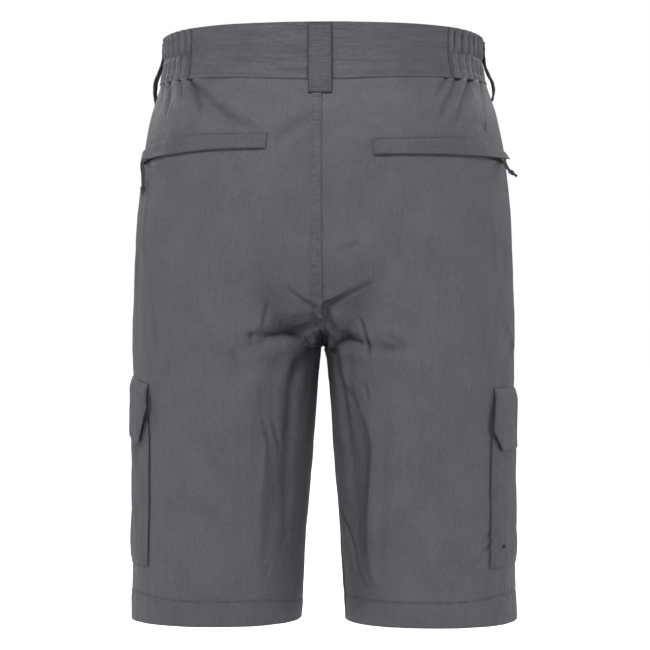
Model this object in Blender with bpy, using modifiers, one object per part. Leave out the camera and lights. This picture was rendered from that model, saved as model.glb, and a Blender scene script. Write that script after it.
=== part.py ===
"""Knee-length hiking shorts: the upper part of a pair of zip-off trousers, hollow and filled out as if worn.

Metres, +Z up. The origin is the middle of the waist, halfway up the waistband, where a wearer holds the
shorts up. The front faces -Y, and the wearer's left is +X.

Heights in the tables are measured up from the hem. A turn runs round half of the front or back: 0 at the side
seam and 1 at the middle seam or, on a leg, at the inseam. Past 1 it goes on over the middle to the other
side.
"""

from collections import namedtuple

import bmesh
import bpy
import numpy as np
from mathutils import Vector

# Driving sizes
INSEAM = 0.272           # hem to crotch
SEAT = 0.372             # height where the two legs have become one round seat
SPREAD_FROM = 0.345      # height where points start to spread evenly round the seat,
SPREAD_OVER = 0.110      # and the rise over which they do
ORIGIN_HEIGHT = 0.555    # hem to the middle of the waistband
CLOTH = 0.0016           # wall of one layer with its crinkle
BAND = 0.0024            # wall of the doubled waistband
TAPE = 0.0012            # wall of a zip
GAP = 0.0003             # between neighbours
HEM = 0.027              # depth of the turned hem
HEM_EXTRA = 0.0006       # and how much thicker it is

Hip = namedtuple("Hip", "height half_width front back squareness")
HIPS = (
    Hip(0.272, 0.1900, 0.1060, 0.1200, 2.55),
    Hip(0.310, 0.1892, 0.1085, 0.1245, 2.55),
    Hip(0.360, 0.1880, 0.1110, 0.1295, 2.50),
    Hip(0.420, 0.1845, 0.1130, 0.1320, 2.40),
    Hip(0.470, 0.1785, 0.1130, 0.1290, 2.30),
    Hip(0.500, 0.1720, 0.1115, 0.1235, 2.22),
    Hip(0.525, 0.1640, 0.1090, 0.1175, 2.12),
    Hip(0.545, 0.1600, 0.1070, 0.1140, 2.08),
    Hip(0.585, 0.1595, 0.1050, 0.1125, 2.05),
)

Leg = namedtuple("Leg", "height inner outer front back squareness")
LEGS = (
    Leg(0.000, 0.0225, 0.1918, 0.0770, 0.0790, 2.12),
    Leg(0.077, 0.0175, 0.1898, 0.0845, 0.0880, 2.12),
    Leg(0.137, 0.0130, 0.1885, 0.0905, 0.0955, 2.14),
    Leg(0.197, 0.0085, 0.1888, 0.0965, 0.1035, 2.16),
    Leg(0.257, 0.0040, 0.1898, 0.1020, 0.1120, 2.20),
    Leg(0.272, 0.0003, 0.1900, 0.1030, 0.1140, 2.22),
    Leg(0.372, 0.0000, 0.1880, 0.1080, 0.1230, 2.30),
)

# Height of the seam under the waistband and of the band's top edge, by turn on the back and on the front.
Edge = namedtuple("Edge", "turn seam top")
BACK_EDGE = (Edge(0.0, 0.5310, 0.5765), Edge(0.44, 0.5300, 0.5800), Edge(1.0, 0.5245, 0.5804))
FRONT_EDGE = (Edge(0.0, 0.5310, 0.5765), Edge(0.50, 0.5275, 0.5710), Edge(1.0, 0.5230, 0.5655))

# Large folds. Depth is along the wall's normal, out if positive, and runs from one end's to the other's.
Fold = namedtuple("Fold", "side front turn_a height_a turn_b height_b width depth_a depth_b")
LEFT, RIGHT = 1, -1
FOLDS = (
    # gathers let out of the elastic
    Fold(LEFT, False, 0.10, 0.532, 0.18, 0.480, 0.010, -0.0035, 0.0),
    Fold(LEFT, False, 0.24, 0.530, 0.36, 0.484, 0.011, -0.0035, 0.0),
    Fold(LEFT, False, 0.38, 0.528, 0.62, 0.478, 0.011, -0.0030, 0.0),
    Fold(RIGHT, False, 0.12, 0.532, 0.20, 0.482, 0.010, -0.0035, 0.0),
    Fold(RIGHT, False, 0.26, 0.530, 0.35, 0.484, 0.011, -0.0035, 0.0),
    Fold(RIGHT, False, 0.34, 0.528, 0.50, 0.476, 0.012, -0.0030, 0.0),
    # drag lines from the crotch
    Fold(LEFT, False, 1.00, 0.312, 0.78, 0.345, 0.012, -0.0030, 0.0),
    Fold(LEFT, False, 0.98, 0.285, 0.62, 0.262, 0.013, -0.0040, 0.0),
    Fold(RIGHT, False, 1.00, 0.318, 0.74, 0.350, 0.012, -0.0030, 0.0),
    Fold(RIGHT, False, 0.97, 0.290, 0.66, 0.268, 0.013, -0.0040, 0.0),
    Fold(LEFT, True, 1.00, 0.330, 0.66, 0.300, 0.013, -0.0030, 0.0),
    Fold(RIGHT, True, 1.00, 0.326, 0.70, 0.292, 0.013, -0.0030, 0.0),
    # long soft folds down the legs
    Fold(LEFT, False, 0.22, 0.300, 0.14, 0.170, 0.016, -0.0030, 0.0),
    Fold(LEFT, False, 0.74, 0.240, 0.66, 0.060, 0.018, -0.0030, -0.001),
    Fold(RIGHT, False, 0.78, 0.245, 0.62, 0.040, 0.018, -0.0040, -0.001),
    Fold(LEFT, True, 0.62, 0.270, 0.56, 0.080, 0.018, -0.0030, 0.0),
    Fold(RIGHT, True, 0.66, 0.262, 0.54, 0.060, 0.018, -0.0035, 0.0),
)

BLACK, DARK_GREY, GREY = (0.012, 0.012, 0.013), (0.055, 0.052, 0.056), (0.120, 0.118, 0.130)


def smooth(share):
    share = np.clip(share, 0.0, 1.0)
    return share * share * (3.0 - 2.0 * share)


def value_at(table, column, where, key="height"):
    """A column of a table read at any height or turn, on a smooth curve through its rows."""
    keys = np.array([getattr(row, key) for row in table])
    values = np.array([getattr(row, column) for row in table])
    slopes = np.gradient(values, keys)
    where = np.clip(where, keys[0], keys[-1])
    i = np.clip(np.searchsorted(keys, where, side="right") - 1, 0, len(keys) - 2)
    span = keys[i + 1] - keys[i]
    t = (where - keys[i]) / span
    return (
        values[i] * (1 + 2 * t) * (1 - t) ** 2
        + values[i + 1] * t * t * (3 - 2 * t)
        + slopes[i] * span * t * (1 - t) ** 2
        - slopes[i + 1] * span * t * t * (1 - t)
    )


def body(side, front, turn, height):
    """Points of the garment's outer face, with no folds, for arrays of turns and heights."""
    front, turn, height = np.broadcast_arrays(front, turn, height)
    side = np.where(turn > 1, -side, side)
    turn = np.where(turn > 1, 2 - turn, turn)
    facing = np.where(front, -1.0, 1.0)

    def ring(angle, half_width, depth, squareness):
        across = np.cos(angle)
        power = 2.0 / squareness
        return (
            half_width * np.sign(across) * np.abs(across) ** power,
            facing * depth * np.abs(np.sin(angle)) ** power,
        )

    def depth(table):
        return np.where(front, value_at(table, "front", height), value_at(table, "back", height))

    rise = np.clip((height - INSEAM) / (SEAT - INSEAM), 0.0, 1.0)
    squareness = value_at(HIPS, "squareness", height)
    at_middle = smooth((turn - 0.5) / 0.5)
    # While the leg opens, the seat's outer points lie straight above the leg's. The rest are evenly spread.
    above_leg = np.arccos(np.clip((0.5 + 0.5 * np.cos(turn * np.pi)) ** (squareness / 2), 0.0, 1.0))
    aligned = (1 - at_middle) * (1 - smooth((height - SPREAD_FROM) / SPREAD_OVER))
    angle = turn * np.pi / 2 + (above_leg - turn * np.pi / 2) * aligned
    hip_x, hip_y = ring(angle, value_at(HIPS, "half_width", height), depth(HIPS), squareness)
    inner, outer = np.maximum(value_at(LEGS, "inner", height), GAP), value_at(LEGS, "outer", height)
    leg_x, leg_y = ring(turn * np.pi, (outer - inner) / 2, depth(LEGS), value_at(LEGS, "squareness", height))
    leg_x = leg_x + (outer + inner) / 2
    # Between crotch and seat the leg opens into the seat: evenly at the side, and as a bow at the middle.
    by_middle = smooth((turn - 0.3) / 0.7)
    share = (1 - by_middle) * smooth(rise) + by_middle * np.sqrt(rise) * (1.5 - 0.5 * rise)
    x = leg_x + (hip_x - leg_x) * share
    y = leg_y + (hip_y - leg_y) * share
    return np.stack([side * x, y, height - ORIGIN_HEIGHT], axis=-1)


def outward(side, front, turn, height):
    """The unit normals of the body's outer face, each taken on its own side of a seam."""
    step = 0.004
    front, turn, height = np.broadcast_arrays(front, turn, height)
    low = np.where(turn > 1, np.maximum(turn - step, 1.0), np.maximum(turn - step, 0.0))
    high = np.where(turn <= 1, np.minimum(turn + step, 1.0), turn + step)
    along = body(side, front, high, height) - body(side, front, low, height)
    up = body(side, front, turn, height + 0.0005) - body(side, front, turn, height - 0.0005)
    normal = np.cross(along, up) * np.where(front, -side, side)[..., None]
    return normal / np.linalg.norm(normal, axis=-1, keepdims=True)


def measure_girths(front):
    """How far it is from turn 0 to turn 1, at each of GIRTH_HEIGHTS."""
    turns, heights = np.meshgrid(np.linspace(0, 1, 60), GIRTH_HEIGHTS)
    rings = body(LEFT, front, turns, heights)
    return np.linalg.norm(np.diff(rings, axis=1), axis=2).sum(axis=1)


GIRTH_HEIGHTS = np.linspace(0.0, 0.585, 60)
FRONT_GIRTHS, BACK_GIRTHS = measure_girths(True), measure_girths(False)


def girth(front, height):
    return np.where(
        front, np.interp(height, GIRTH_HEIGHTS, FRONT_GIRTHS), np.interp(height, GIRTH_HEIGHTS, BACK_GIRTHS)
    )


def beside(side, front, turn, height, distance):
    """The turn that lies a distance further round the wall, at the same height."""
    step = distance / girth(front, height)
    moved = np.linalg.norm(body(side, front, turn + step, height) - body(side, front, turn, height), axis=-1)
    return turn + step * np.abs(distance) / np.maximum(moved, 1e-9)


def relief(side, front, turn, height):
    """How far the folds lift the wall or sink it."""
    front, turn, height = np.broadcast_arrays(front, turn, height)
    total = np.zeros(turn.shape)
    for fold in FOLDS:
        round_it = float(girth(fold.front, (fold.height_a + fold.height_b) / 2))
        start = np.array([fold.turn_a * round_it, fold.height_a])
        run = np.array([fold.turn_b * round_it, fold.height_b]) - start
        here = np.stack([turn * round_it, height], axis=-1) - start
        along = np.clip(here @ run / (run @ run), 0, 1)
        away = np.linalg.norm(here - along[..., None] * run, axis=-1)
        depth = fold.depth_a + (fold.depth_b - fold.depth_a) * along
        on_panel = (front == fold.front) & (side == fold.side)
        total += np.where(on_panel, depth * np.exp(-((away / fold.width) ** 2)), 0.0)
    return total


def face(side, front, turn, height, lift):
    """Points of the folded wall, moved out by a lift."""
    normal = outward(side, front, turn, height)
    return body(side, front, turn, height) + normal * (relief(side, front, turn, height) + lift)[..., None]


def material(name, colour, roughness, metallic=0.0):
    made = bpy.data.materials.new(name)
    made.use_nodes = True
    shader = made.node_tree.nodes["Principled BSDF"]
    shader.inputs["Base Color"].default_value = (*colour, 1.0)
    shader.inputs["Roughness"].default_value = roughness
    shader.inputs["Metallic"].default_value = metallic
    return made


def wall(name, points, normals, thick, collection, finish, closed=False):
    """A sheet over a grid of points, rows of columns, thickened inward. A closed one joins its last column to
    its first. The normals point out, and thick may differ from point to point."""
    if np.cross(points[0, 1] - points[0, 0], points[1, 0] - points[0, 0]) @ normals[0, 0] < 0:
        points, thick = points[:, ::-1], np.broadcast_to(thick, points.shape[:2])[:, ::-1]
    rows, columns = points.shape[:2]
    corner = np.arange(rows * columns).reshape(rows, columns)
    beside = np.roll(corner, -1, axis=1)
    last = columns if closed else columns - 1
    quads = np.stack([corner[:-1], beside[:-1], beside[1:], corner[1:]], axis=-1)[:, :last].reshape(-1, 4)
    sheet = bmesh.new()
    verts = [sheet.verts.new(point) for point in points.reshape(-1, 3)]
    for quad in quads:
        sheet.faces.new([verts[i] for i in quad]).smooth = True
    for edge in sheet.edges:
        edge.smooth = not edge.is_boundary
    data = bpy.data.meshes.new(name)
    sheet.to_mesh(data)
    sheet.free()
    data.materials.append(finish)
    made = bpy.data.objects.new(name, data)
    collection.objects.link(made)
    thickest = float(np.max(thick))
    depth = made.vertex_groups.new(name="depth")
    for vertex, share in enumerate(np.broadcast_to(thick, (rows, columns)).ravel() / thickest):
        depth.add([vertex], float(share), "REPLACE")
    solid = made.modifiers.new("cloth", "SOLIDIFY")
    solid.thickness, solid.offset, solid.vertex_group = thickest, -1.0, depth.name
    return made


def inset(points, amount=GAP):
    """Draws the four edges of a grid in along its own surface. Two thickened neighbours then keep the gap,
    since their inner edges lean towards each other by about half of what is drawn in."""
    points = points.copy()
    for axis in (0, 1):
        grid = np.moveaxis(points, axis, 0)
        for edge, beside in ((0, 1), (-1, -2)):
            step = grid[beside] - grid[edge]
            grid[edge] += step * (amount / np.linalg.norm(step, axis=-1, keepdims=True))
    return points


def cloth(name, side, front, turns, heights, collection, finish, lift=0.0, thick=CLOTH, extra=0.0):
    """A wall over a grid of turns and heights. Lift is to its outer face, and extra is added to it."""
    lift = np.broadcast_to(lift + np.asarray(extra, float), turns.shape)
    points = inset(face(side, front, turns, heights, lift))
    return wall(name, points, outward(side, front, turns, heights), thick, collection, finish)


def edge_height(front, turn, column):
    """Height of a waistband edge at a turn, the same on both sides of the middle."""
    turn = np.where(turn > 1, 2 - turn, turn)
    back = value_at(BACK_EDGE, column, turn, key="turn")
    return np.where(front, value_at(FRONT_EDGE, column, turn, key="turn"), back)


# Heights of a panel's rows. The bow is where the leg opens into the seat, and its rows are shares of the way.
# The rows over it bend, from one of them on, to end along the waistband's seam.
LEG_ROWS = (0.0, HEM - 0.001, HEM + 0.002, 0.065, 0.105, 0.145, 0.185, 0.222, 0.250, 0.265)
BOW_ROWS = (0.0, 0.04, 0.14, 0.30, 0.52, 0.76, 1.0)
SEAT_ROWS = (0.402, 0.430, 0.457, 0.474, 0.500, 0.5245)
BENT_FROM = 2


def panel(name, side, front, collection, finish, columns=15):
    """A front or a back: from hem to waistband seam and from side seam to middle seam."""
    bow = INSEAM + (SEAT - INSEAM) * np.array(BOW_ROWS)
    levels = np.concatenate([LEG_ROWS, bow, SEAT_ROWS])
    turns, heights = np.meshgrid(np.linspace(0, 1, columns), levels)
    straight, top = SEAT_ROWS[BENT_FROM], SEAT_ROWS[-1]
    rise = smooth((heights - straight) / (top - straight))
    heights = heights + rise * (edge_height(front, turns, "seam") - top)
    thick = np.where(heights < HEM, CLOTH + HEM_EXTRA, CLOTH)
    return cloth(name, side, front, turns, heights, collection, finish, thick=thick)


BAND_LIFT = 0.0008       # how far the band's outer face stands outside the panels'


def band(name, side, front, turns, collection, finish, rows=3, extra=None):
    """A stretch of the waistband between its seam and its top edge."""
    turns, share = np.meshgrid(turns, np.linspace(0, 1, rows))
    seam, top = edge_height(front, turns, "seam"), edge_height(front, turns, "top")
    heights = seam + share * (top - seam)
    added = 0.0 if extra is None else extra(turns, share)
    return cloth(name, side, front, turns, heights, collection, finish, BAND_LIFT, BAND, added)


# Waistband: flat at the back, gathered over elastic at each hip. Troughs between tucks, in turns: in the
# upper row every second one, and in the lower row those between.
FLAT_FROM = 0.44
TUCKS = (
    0.002, 0.026, 0.056, 0.080, 0.112, 0.140, 0.165, 0.196, 0.222,
    0.252, 0.280, 0.304, 0.336, 0.364, 0.390, 0.415, 0.438,
)
TUCK_DEPTH = 0.0020
TUCKS_FADE = 0.06        # over this much of a turn at either end
CHANNEL_DEPTH, CHANNEL_HALF_WIDTH = 0.0008, 0.05   # the width is a share of the band's height

# The right end of the waistband runs on past the middle, under the left end: how far in, and by turn.
LAP_DEPTH, LAP_FROM, LAP_OVER = 0.0030, 0.93, 0.065
LAP_TURNS = (0.93, 0.965, 0.995, 1.06, 1.12, 1.18)


def gathers(turns, share):
    """Tucks of the elastic: two rows, offset, on either side of a stitched channel."""
    place = np.interp(turns, TUCKS, np.arange(len(TUCKS)))
    upper = share > 0.5
    wave = 0.5 - 0.5 * np.cos(np.pi * (place + np.where(upper, 1.0, 0.0)))
    at_ends = np.minimum(1.0, np.minimum(turns, FLAT_FROM - turns) / TUCKS_FADE)
    in_channel = np.abs(share - 0.5) < CHANNEL_HALF_WIDTH
    return np.where(in_channel, -CHANNEL_DEPTH, -TUCK_DEPTH * wave) * at_ends


def lap(turns, share):
    """The step in of the right end of the waistband, the same at every share of its height."""
    return -LAP_DEPTH * smooth((turns - LAP_FROM) / LAP_OVER) * np.ones_like(share)


def waistband(collection, finish):
    flat = np.linspace(FLAT_FROM, 2 - FLAT_FROM, 17)
    band("waistband_back", LEFT, False, flat, collection, finish)
    for side, label in ((LEFT, "left"), (RIGHT, "right")):
        band("waistband_elastic_" + label, side, False, np.array(TUCKS), collection, finish, 5, gathers)
    band("waistband_front_left", LEFT, True, np.linspace(0, 1, 13), collection, finish)
    lapped = np.concatenate([np.linspace(0, 0.90, 11), LAP_TURNS])
    band("waistband_front_right", RIGHT, True, lapped, collection, finish, extra=lap)


# What is sewn on a panel stands this far off it, which clears the flats of both.
SEAT_LIFT = 0.0009

# A belt loop: distance out from the wall up its length, and where its middle is, in metres from the side seam
# (positive to the back) or in turns.
LoopRow = namedtuple("LoopRow", "height away")
FLAT_LOOP = (
    LoopRow(0.5118, 0.0009), LoopRow(0.5160, 0.0018), LoopRow(0.5235, 0.0026), LoopRow(0.5400, 0.0030),
    LoopRow(0.5600, 0.0028), LoopRow(0.5740, 0.0022), LoopRow(0.5785, 0.0017),
)
BOWED_LOOP = (
    LoopRow(0.5118, 0.0009), LoopRow(0.5145, 0.0022), LoopRow(0.5190, 0.0036), LoopRow(0.5260, 0.0039),
    LoopRow(0.5340, 0.0038), LoopRow(0.5450, 0.0030), LoopRow(0.5570, 0.0019), LoopRow(0.5745, 0.0017),
)
LOOP_WALL = 0.0018
BACK_LOOP_WIDTH, LOOP_WIDTH = 0.0255, 0.013
SIDE_LOOP_TURN, FRONT_LOOP_TURN = 0.058, 0.66


def belt_loop(name, side, front, turn, width, rows, top, collection, finish):
    heights = np.array([row.height for row in rows])
    heights = heights[0] + (heights - heights[0]) * (top - heights[0]) / (heights[-1] - heights[0])
    away = np.array([row.away for row in rows])
    across = np.array([-0.5, 0.0, 0.5]) * width
    offsets, heights = np.meshgrid(across, heights)
    turns = beside(side, front, turn, heights, offsets)
    lift = np.broadcast_to((away + LOOP_WALL)[:, None], turns.shape)
    points = face(side, front, turns, heights, lift)
    return wall(name, points, outward(side, front, turns, heights), LOOP_WALL, collection, finish)


def belt_loops(collection, finish):
    """Each stops a little short of the waistband's top edge, which is highest at the back."""
    belt_loop("belt_loop_back", LEFT, False, 1.0, BACK_LOOP_WIDTH, FLAT_LOOP, 0.5790, collection, finish)
    for side, label in ((LEFT, "left"), (RIGHT, "right")):
        loop = "belt_loop_side_" + label
        belt_loop(loop, side, True, SIDE_LOOP_TURN, LOOP_WIDTH, BOWED_LOOP, 0.5745, collection, finish)
        loop = "belt_loop_front_" + label
        belt_loop(loop, side, True, FRONT_LOOP_TURN, LOOP_WIDTH, FLAT_LOOP, 0.5670, collection, finish)


# The covers over the zipped pockets of the seat: top edge, where it is sewn, and free lower edge, by turn.
Cover = namedtuple("Cover", "turn top bottom")
LEFT_COVER = (
    Cover(0.030, 0.4635, 0.4560), Cover(0.160, 0.4655, 0.4546), Cover(0.300, 0.4688, 0.4542),
    Cover(0.460, 0.4720, 0.4558), Cover(0.660, 0.4738, 0.4585), Cover(0.862, 0.4732, 0.4590),
)
RIGHT_COVER = (
    Cover(0.030, 0.4600, 0.4552), Cover(0.160, 0.4640, 0.4548), Cover(0.325, 0.4695, 0.4540),
    Cover(0.460, 0.4708, 0.4538), Cover(0.640, 0.4698, 0.4538), Cover(0.848, 0.4672, 0.4525),
)
COVER_PROUD, COVER_PROUD_OVER = 0.0045, 0.20   # how far the outer end stands off its zip, and over what turn


def pocket_cover(name, side, table, collection, finish):
    columns = np.linspace(table[0].turn, table[-1].turn, 13)
    turns, share = np.meshgrid(columns, np.array([0.0, 0.5, 1.0]))
    top, bottom = (value_at(table, column, turns, key="turn") for column in ("top", "bottom"))
    open_end = (1 - smooth((turns - table[0].turn) / COVER_PROUD_OVER)) * (1 - share)
    lift = SEAT_LIFT + CLOTH
    heights = bottom + share * (top - bottom)
    return cloth(name, side, False, turns, heights, collection, finish, lift, extra=COVER_PROUD * open_end)


# Zip pulls of the seat pockets: a loop of cord through the slider, closed by a knot with cut ends. Across is
# along the zip, and lift is out from the wall. The left pull hangs, and the right one stands out.
PULL_TURN = 0.18
SLIDER_LIFT = 0.0005
SLIDER_SIZE = (0.0078, 0.0052, 0.0024)
SLIDER_HEIGHT = 0.4512
CORD_RADIUS = 0.0010
PullRow = namedtuple("PullRow", "across height lift")
HALF_LOOPS = {   # from the knot up to the slider
    "left": (
        PullRow(-0.0011, 0.4272, 0.0026), PullRow(-0.0019, 0.4345, 0.0028), PullRow(-0.0026, 0.4430, 0.0036),
        PullRow(-0.0022, 0.4498, 0.0043), PullRow(0.0000, 0.4518, 0.0043),
    ),
    "right": (
        PullRow(-0.0011, 0.4412, 0.0090), PullRow(-0.0019, 0.4441, 0.0072), PullRow(-0.0026, 0.4473, 0.0056),
        PullRow(-0.0022, 0.4500, 0.0045), PullRow(0.0000, 0.4518, 0.0043),
    ),
}
KnotRow = namedtuple("KnotRow", "height lift radius")
KNOTS = {
    "left": (
        KnotRow(0.4268, 0.0026, 0.0016), KnotRow(0.4258, 0.0028, 0.0023), KnotRow(0.4244, 0.0028, 0.0023),
        KnotRow(0.4234, 0.0027, 0.0016), KnotRow(0.4225, 0.0026, 0.0014), KnotRow(0.4208, 0.0024, 0.0014),
    ),
    "right": (
        KnotRow(0.4408, 0.0094, 0.0016), KnotRow(0.4399, 0.0106, 0.0023), KnotRow(0.4385, 0.0122, 0.0023),
        KnotRow(0.4376, 0.0133, 0.0016), KnotRow(0.4367, 0.0143, 0.0014), KnotRow(0.4348, 0.0165, 0.0014),
    ),
}


def tube(name, points, radii, collection, finish):
    data = bpy.data.curves.new(name, "CURVE")
    data.dimensions = "3D"
    data.bevel_depth = 1.0
    data.bevel_resolution = 1
    data.use_fill_caps = True
    line = data.splines.new("POLY")
    line.points.add(len(points) - 1)
    for at, point, radius in zip(line.points, points, radii):
        at.co = (*point, 1.0)
        at.radius = radius
    data.materials.append(finish)
    made = bpy.data.objects.new(name, data)
    collection.objects.link(made)
    return made


def zip_pull(side, label, collection, metal, cord):
    def place(across, height, lift):
        return face(side, False, beside(side, False, PULL_TURN, height, across), height, lift)

    half = SLIDER_SIZE[2] / 2
    mesh = bmesh.new()
    bmesh.ops.create_cube(mesh, size=1.0)
    bmesh.ops.scale(mesh, vec=SLIDER_SIZE, verts=mesh.verts)
    data = bpy.data.meshes.new("zip_slider_" + label)
    mesh.to_mesh(data)
    mesh.free()
    data.materials.append(metal)
    slider = bpy.data.objects.new("zip_slider_" + label, data)
    slider.location = place(0.0, SLIDER_HEIGHT, SLIDER_LIFT + half)
    out = outward(side, False, PULL_TURN, SLIDER_HEIGHT)
    slider.rotation_euler = Vector(out).to_track_quat("Z", "Y").to_euler()
    edge = slider.modifiers.new("edge", "BEVEL")
    edge.width, edge.segments = 0.0006, 2
    collection.objects.link(slider)
    half_loop = HALF_LOOPS[label]
    loop = [place(*row) for row in half_loop]
    loop += [place(-row.across, row.height, row.lift) for row in half_loop[-2::-1]]
    tube("pull_cord_" + label, loop, [CORD_RADIUS] * len(loop), collection, cord)
    knot = [place(0.0, row.height, row.lift) for row in KNOTS[label]]
    tube("pull_knot_" + label, knot, [row.radius for row in KNOTS[label]], collection, cord)


# The slanted covers of the hand pockets at the front: the middle line and half the width.
HAND_TOP, HAND_BOTTOM = (0.50, 0.5160), (0.10, 0.3950)   # turn, height
HAND_HALF_WIDTH = 0.008


def hand_pocket_cover(name, side, collection, finish):
    along, across = np.meshgrid(np.linspace(0, 1, 11), np.array([-1.0, 0.0, 1.0]))
    turns = HAND_BOTTOM[0] + along * (HAND_TOP[0] - HAND_BOTTOM[0])
    heights = HAND_BOTTOM[1] + along * (HAND_TOP[1] - HAND_BOTTOM[1])
    turns = beside(side, True, turns, heights, -across * HAND_HALF_WIDTH)
    return cloth(name, side, True, turns, heights, collection, finish, SEAT_LIFT + CLOTH)


# Cargo pockets on the outside of each thigh. Reach is measured round the leg from the side seam, positive to
# the back.
Pocket = namedtuple("Pocket", "side label back_reach front_reach top bottom flap_top flap_proud")
POCKETS = (
    Pocket(LEFT, "left", 0.062, -0.115, 0.2220, 0.0490, 0.2365, 0.0060),
    Pocket(RIGHT, "right", 0.062, -0.113, 0.2150, 0.0490, 0.2295, 0.0046),
)
POCKET_PUFF = 0.0010
UNDER_FLAP = 0.050        # the pocket lies flat from this far under its top up
FLAP_CLEAR = 0.0026       # the flap's stand-off at the side. Flap_proud is that at its two ends.
FLAP_LENGTH, FLAP_STRAIGHT = 0.060, 0.038   # the flap's depth, and where its side stops being straight
FLAP_CORNER = 0.016       # how far its corners are cut


def wrapped(side, reach, heights):
    """The front flag and the turn of a place measured round a leg from the side seam."""
    front = reach < 0
    return front, beside(side, front, np.zeros_like(reach), heights, np.abs(reach))


def cargo_pocket(pocket, collection, finish):
    share_across, share_up = np.meshgrid(np.linspace(0, 1, 11), np.linspace(0, 1, 7))
    reach = pocket.front_reach + share_across * (pocket.back_reach - pocket.front_reach)
    heights = pocket.bottom + share_up * (pocket.top - pocket.bottom)
    front, turns = wrapped(pocket.side, reach, heights)
    flat = smooth((heights - pocket.top + UNDER_FLAP) / 0.030)
    rounded = np.abs(np.sin(np.pi * share_across)) ** 0.5 * np.minimum(1, 4 * share_up)
    puff = POCKET_PUFF * rounded * (1 - flat)
    name = "cargo_pocket_" + pocket.label
    return cloth(name, pocket.side, front, turns, heights, collection, finish, SEAT_LIFT + CLOTH, extra=puff)


def cargo_flap(pocket, collection, finish):
    drops = np.array([0.0, 0.007, 0.014, FLAP_STRAIGHT, 0.050, FLAP_LENGTH])
    share_across, drop = np.meshgrid(np.linspace(0, 1, 11), drops[::-1])
    cut = FLAP_CORNER * np.clip((drop - FLAP_STRAIGHT) / (FLAP_LENGTH - FLAP_STRAIGHT), 0, 1)
    front_end, back_end = pocket.front_reach - 0.002 + cut, pocket.back_reach + 0.002 - cut
    reach = front_end + share_across * (back_end - front_end)
    heights = pocket.flap_top - drop
    front, turns = wrapped(pocket.side, reach, heights)
    to_end = np.abs(2 * share_across - 1) ** 2
    proud = FLAP_CLEAR + (pocket.flap_proud - FLAP_CLEAR) * to_end
    stand = SEAT_LIFT + CLOTH + smooth(drop / 0.014) * proud
    name = "cargo_flap_" + pocket.label
    return cloth(name, pocket.side, front, turns, heights, collection, finish, stand)


FLY_WIDTH, FLY_ROUND, FLY_BOTTOM = 0.036, 0.030, 0.400   # its cover's width and the height of its round end
FLY_TAPE_HALF_WIDTH = 0.012


def fly(collection, cloth_finish, zip_finish):
    """The fly's cover on the left front, with its round lower end, and the zip behind the middle seam."""
    levels = np.array([0.0, 0.004, 0.012, 0.026, 0.050, 0.080, 0.110])
    share, rise = np.meshgrid(np.linspace(0, 1, 4), levels)
    top = edge_height(True, 1.0, "seam") - 2 * GAP
    heights = FLY_BOTTOM + rise * (top - FLY_BOTTOM) / levels[-1]
    width = FLY_WIDTH * np.sqrt(1 - (1 - np.clip((rise + 0.002) / FLY_ROUND, 0, 1)) ** 2)
    turns = beside(LEFT, True, 1.0, heights, -(GAP + (1 - share) * width))
    cloth("fly_cover", LEFT, True, turns, heights, collection, cloth_finish, SEAT_LIFT + CLOTH)
    across = np.linspace(-FLY_TAPE_HALF_WIDTH, FLY_TAPE_HALF_WIDTH, 4)
    offset, heights = np.meshgrid(across, np.linspace(FLY_BOTTOM + 0.006, top - 0.004, 7))
    turns = beside(LEFT, True, 1.0, heights, offset)
    cloth("fly_zip", LEFT, True, turns, heights, collection, zip_finish, -CLOTH - SEAT_LIFT, TAPE)


LEG_ZIP_FROM, LEG_ZIP_TO = 0.004, 0.0235   # heights inside the hem


def leg_zip(name, side, collection, finish):
    """The half zip round the inside of a hem, which takes the lower leg."""
    round_leg = np.linspace(0, 1, 15)
    turns = np.concatenate([round_leg, round_leg[-2:0:-1]])
    front = np.arange(len(turns)) >= len(round_leg)
    turns, heights = np.meshgrid(turns, np.array([LEG_ZIP_FROM, LEG_ZIP_TO]))
    front = np.broadcast_to(front, turns.shape)
    normals = outward(side, front, turns, heights)
    points = body(side, front, turns, heights) - normals * (CLOTH + HEM_EXTRA + SEAT_LIFT)
    return wall(name, points, normals, TAPE, collection, finish, closed=True)


BUTTON_RADIUS, BUTTON_WALL = 0.0085, 0.0028
BUTTON_FROM_MIDDLE = 0.015


def button(collection, finish):
    mesh = bmesh.new()
    bmesh.ops.create_cone(
        mesh, cap_ends=True, segments=24, radius1=BUTTON_RADIUS, radius2=BUTTON_RADIUS, depth=BUTTON_WALL
    )
    data = bpy.data.meshes.new("waist_button")
    mesh.to_mesh(data)
    mesh.free()
    data.materials.append(finish)
    made = bpy.data.objects.new("waist_button", data)
    height = 0.5 * float(edge_height(True, 1.0, "seam") + edge_height(True, 1.0, "top"))
    turn = beside(LEFT, True, 1.0, height, -BUTTON_FROM_MIDDLE)
    made.location = face(LEFT, True, turn, height, BAND_LIFT + 2 * GAP + BUTTON_WALL / 2)
    made.rotation_euler = Vector(outward(LEFT, True, turn, height)).to_track_quat("Z", "Y").to_euler()
    rim = made.modifiers.new("rim", "BEVEL")
    rim.width, rim.segments = 0.0007, 2
    collection.objects.link(made)


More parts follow.
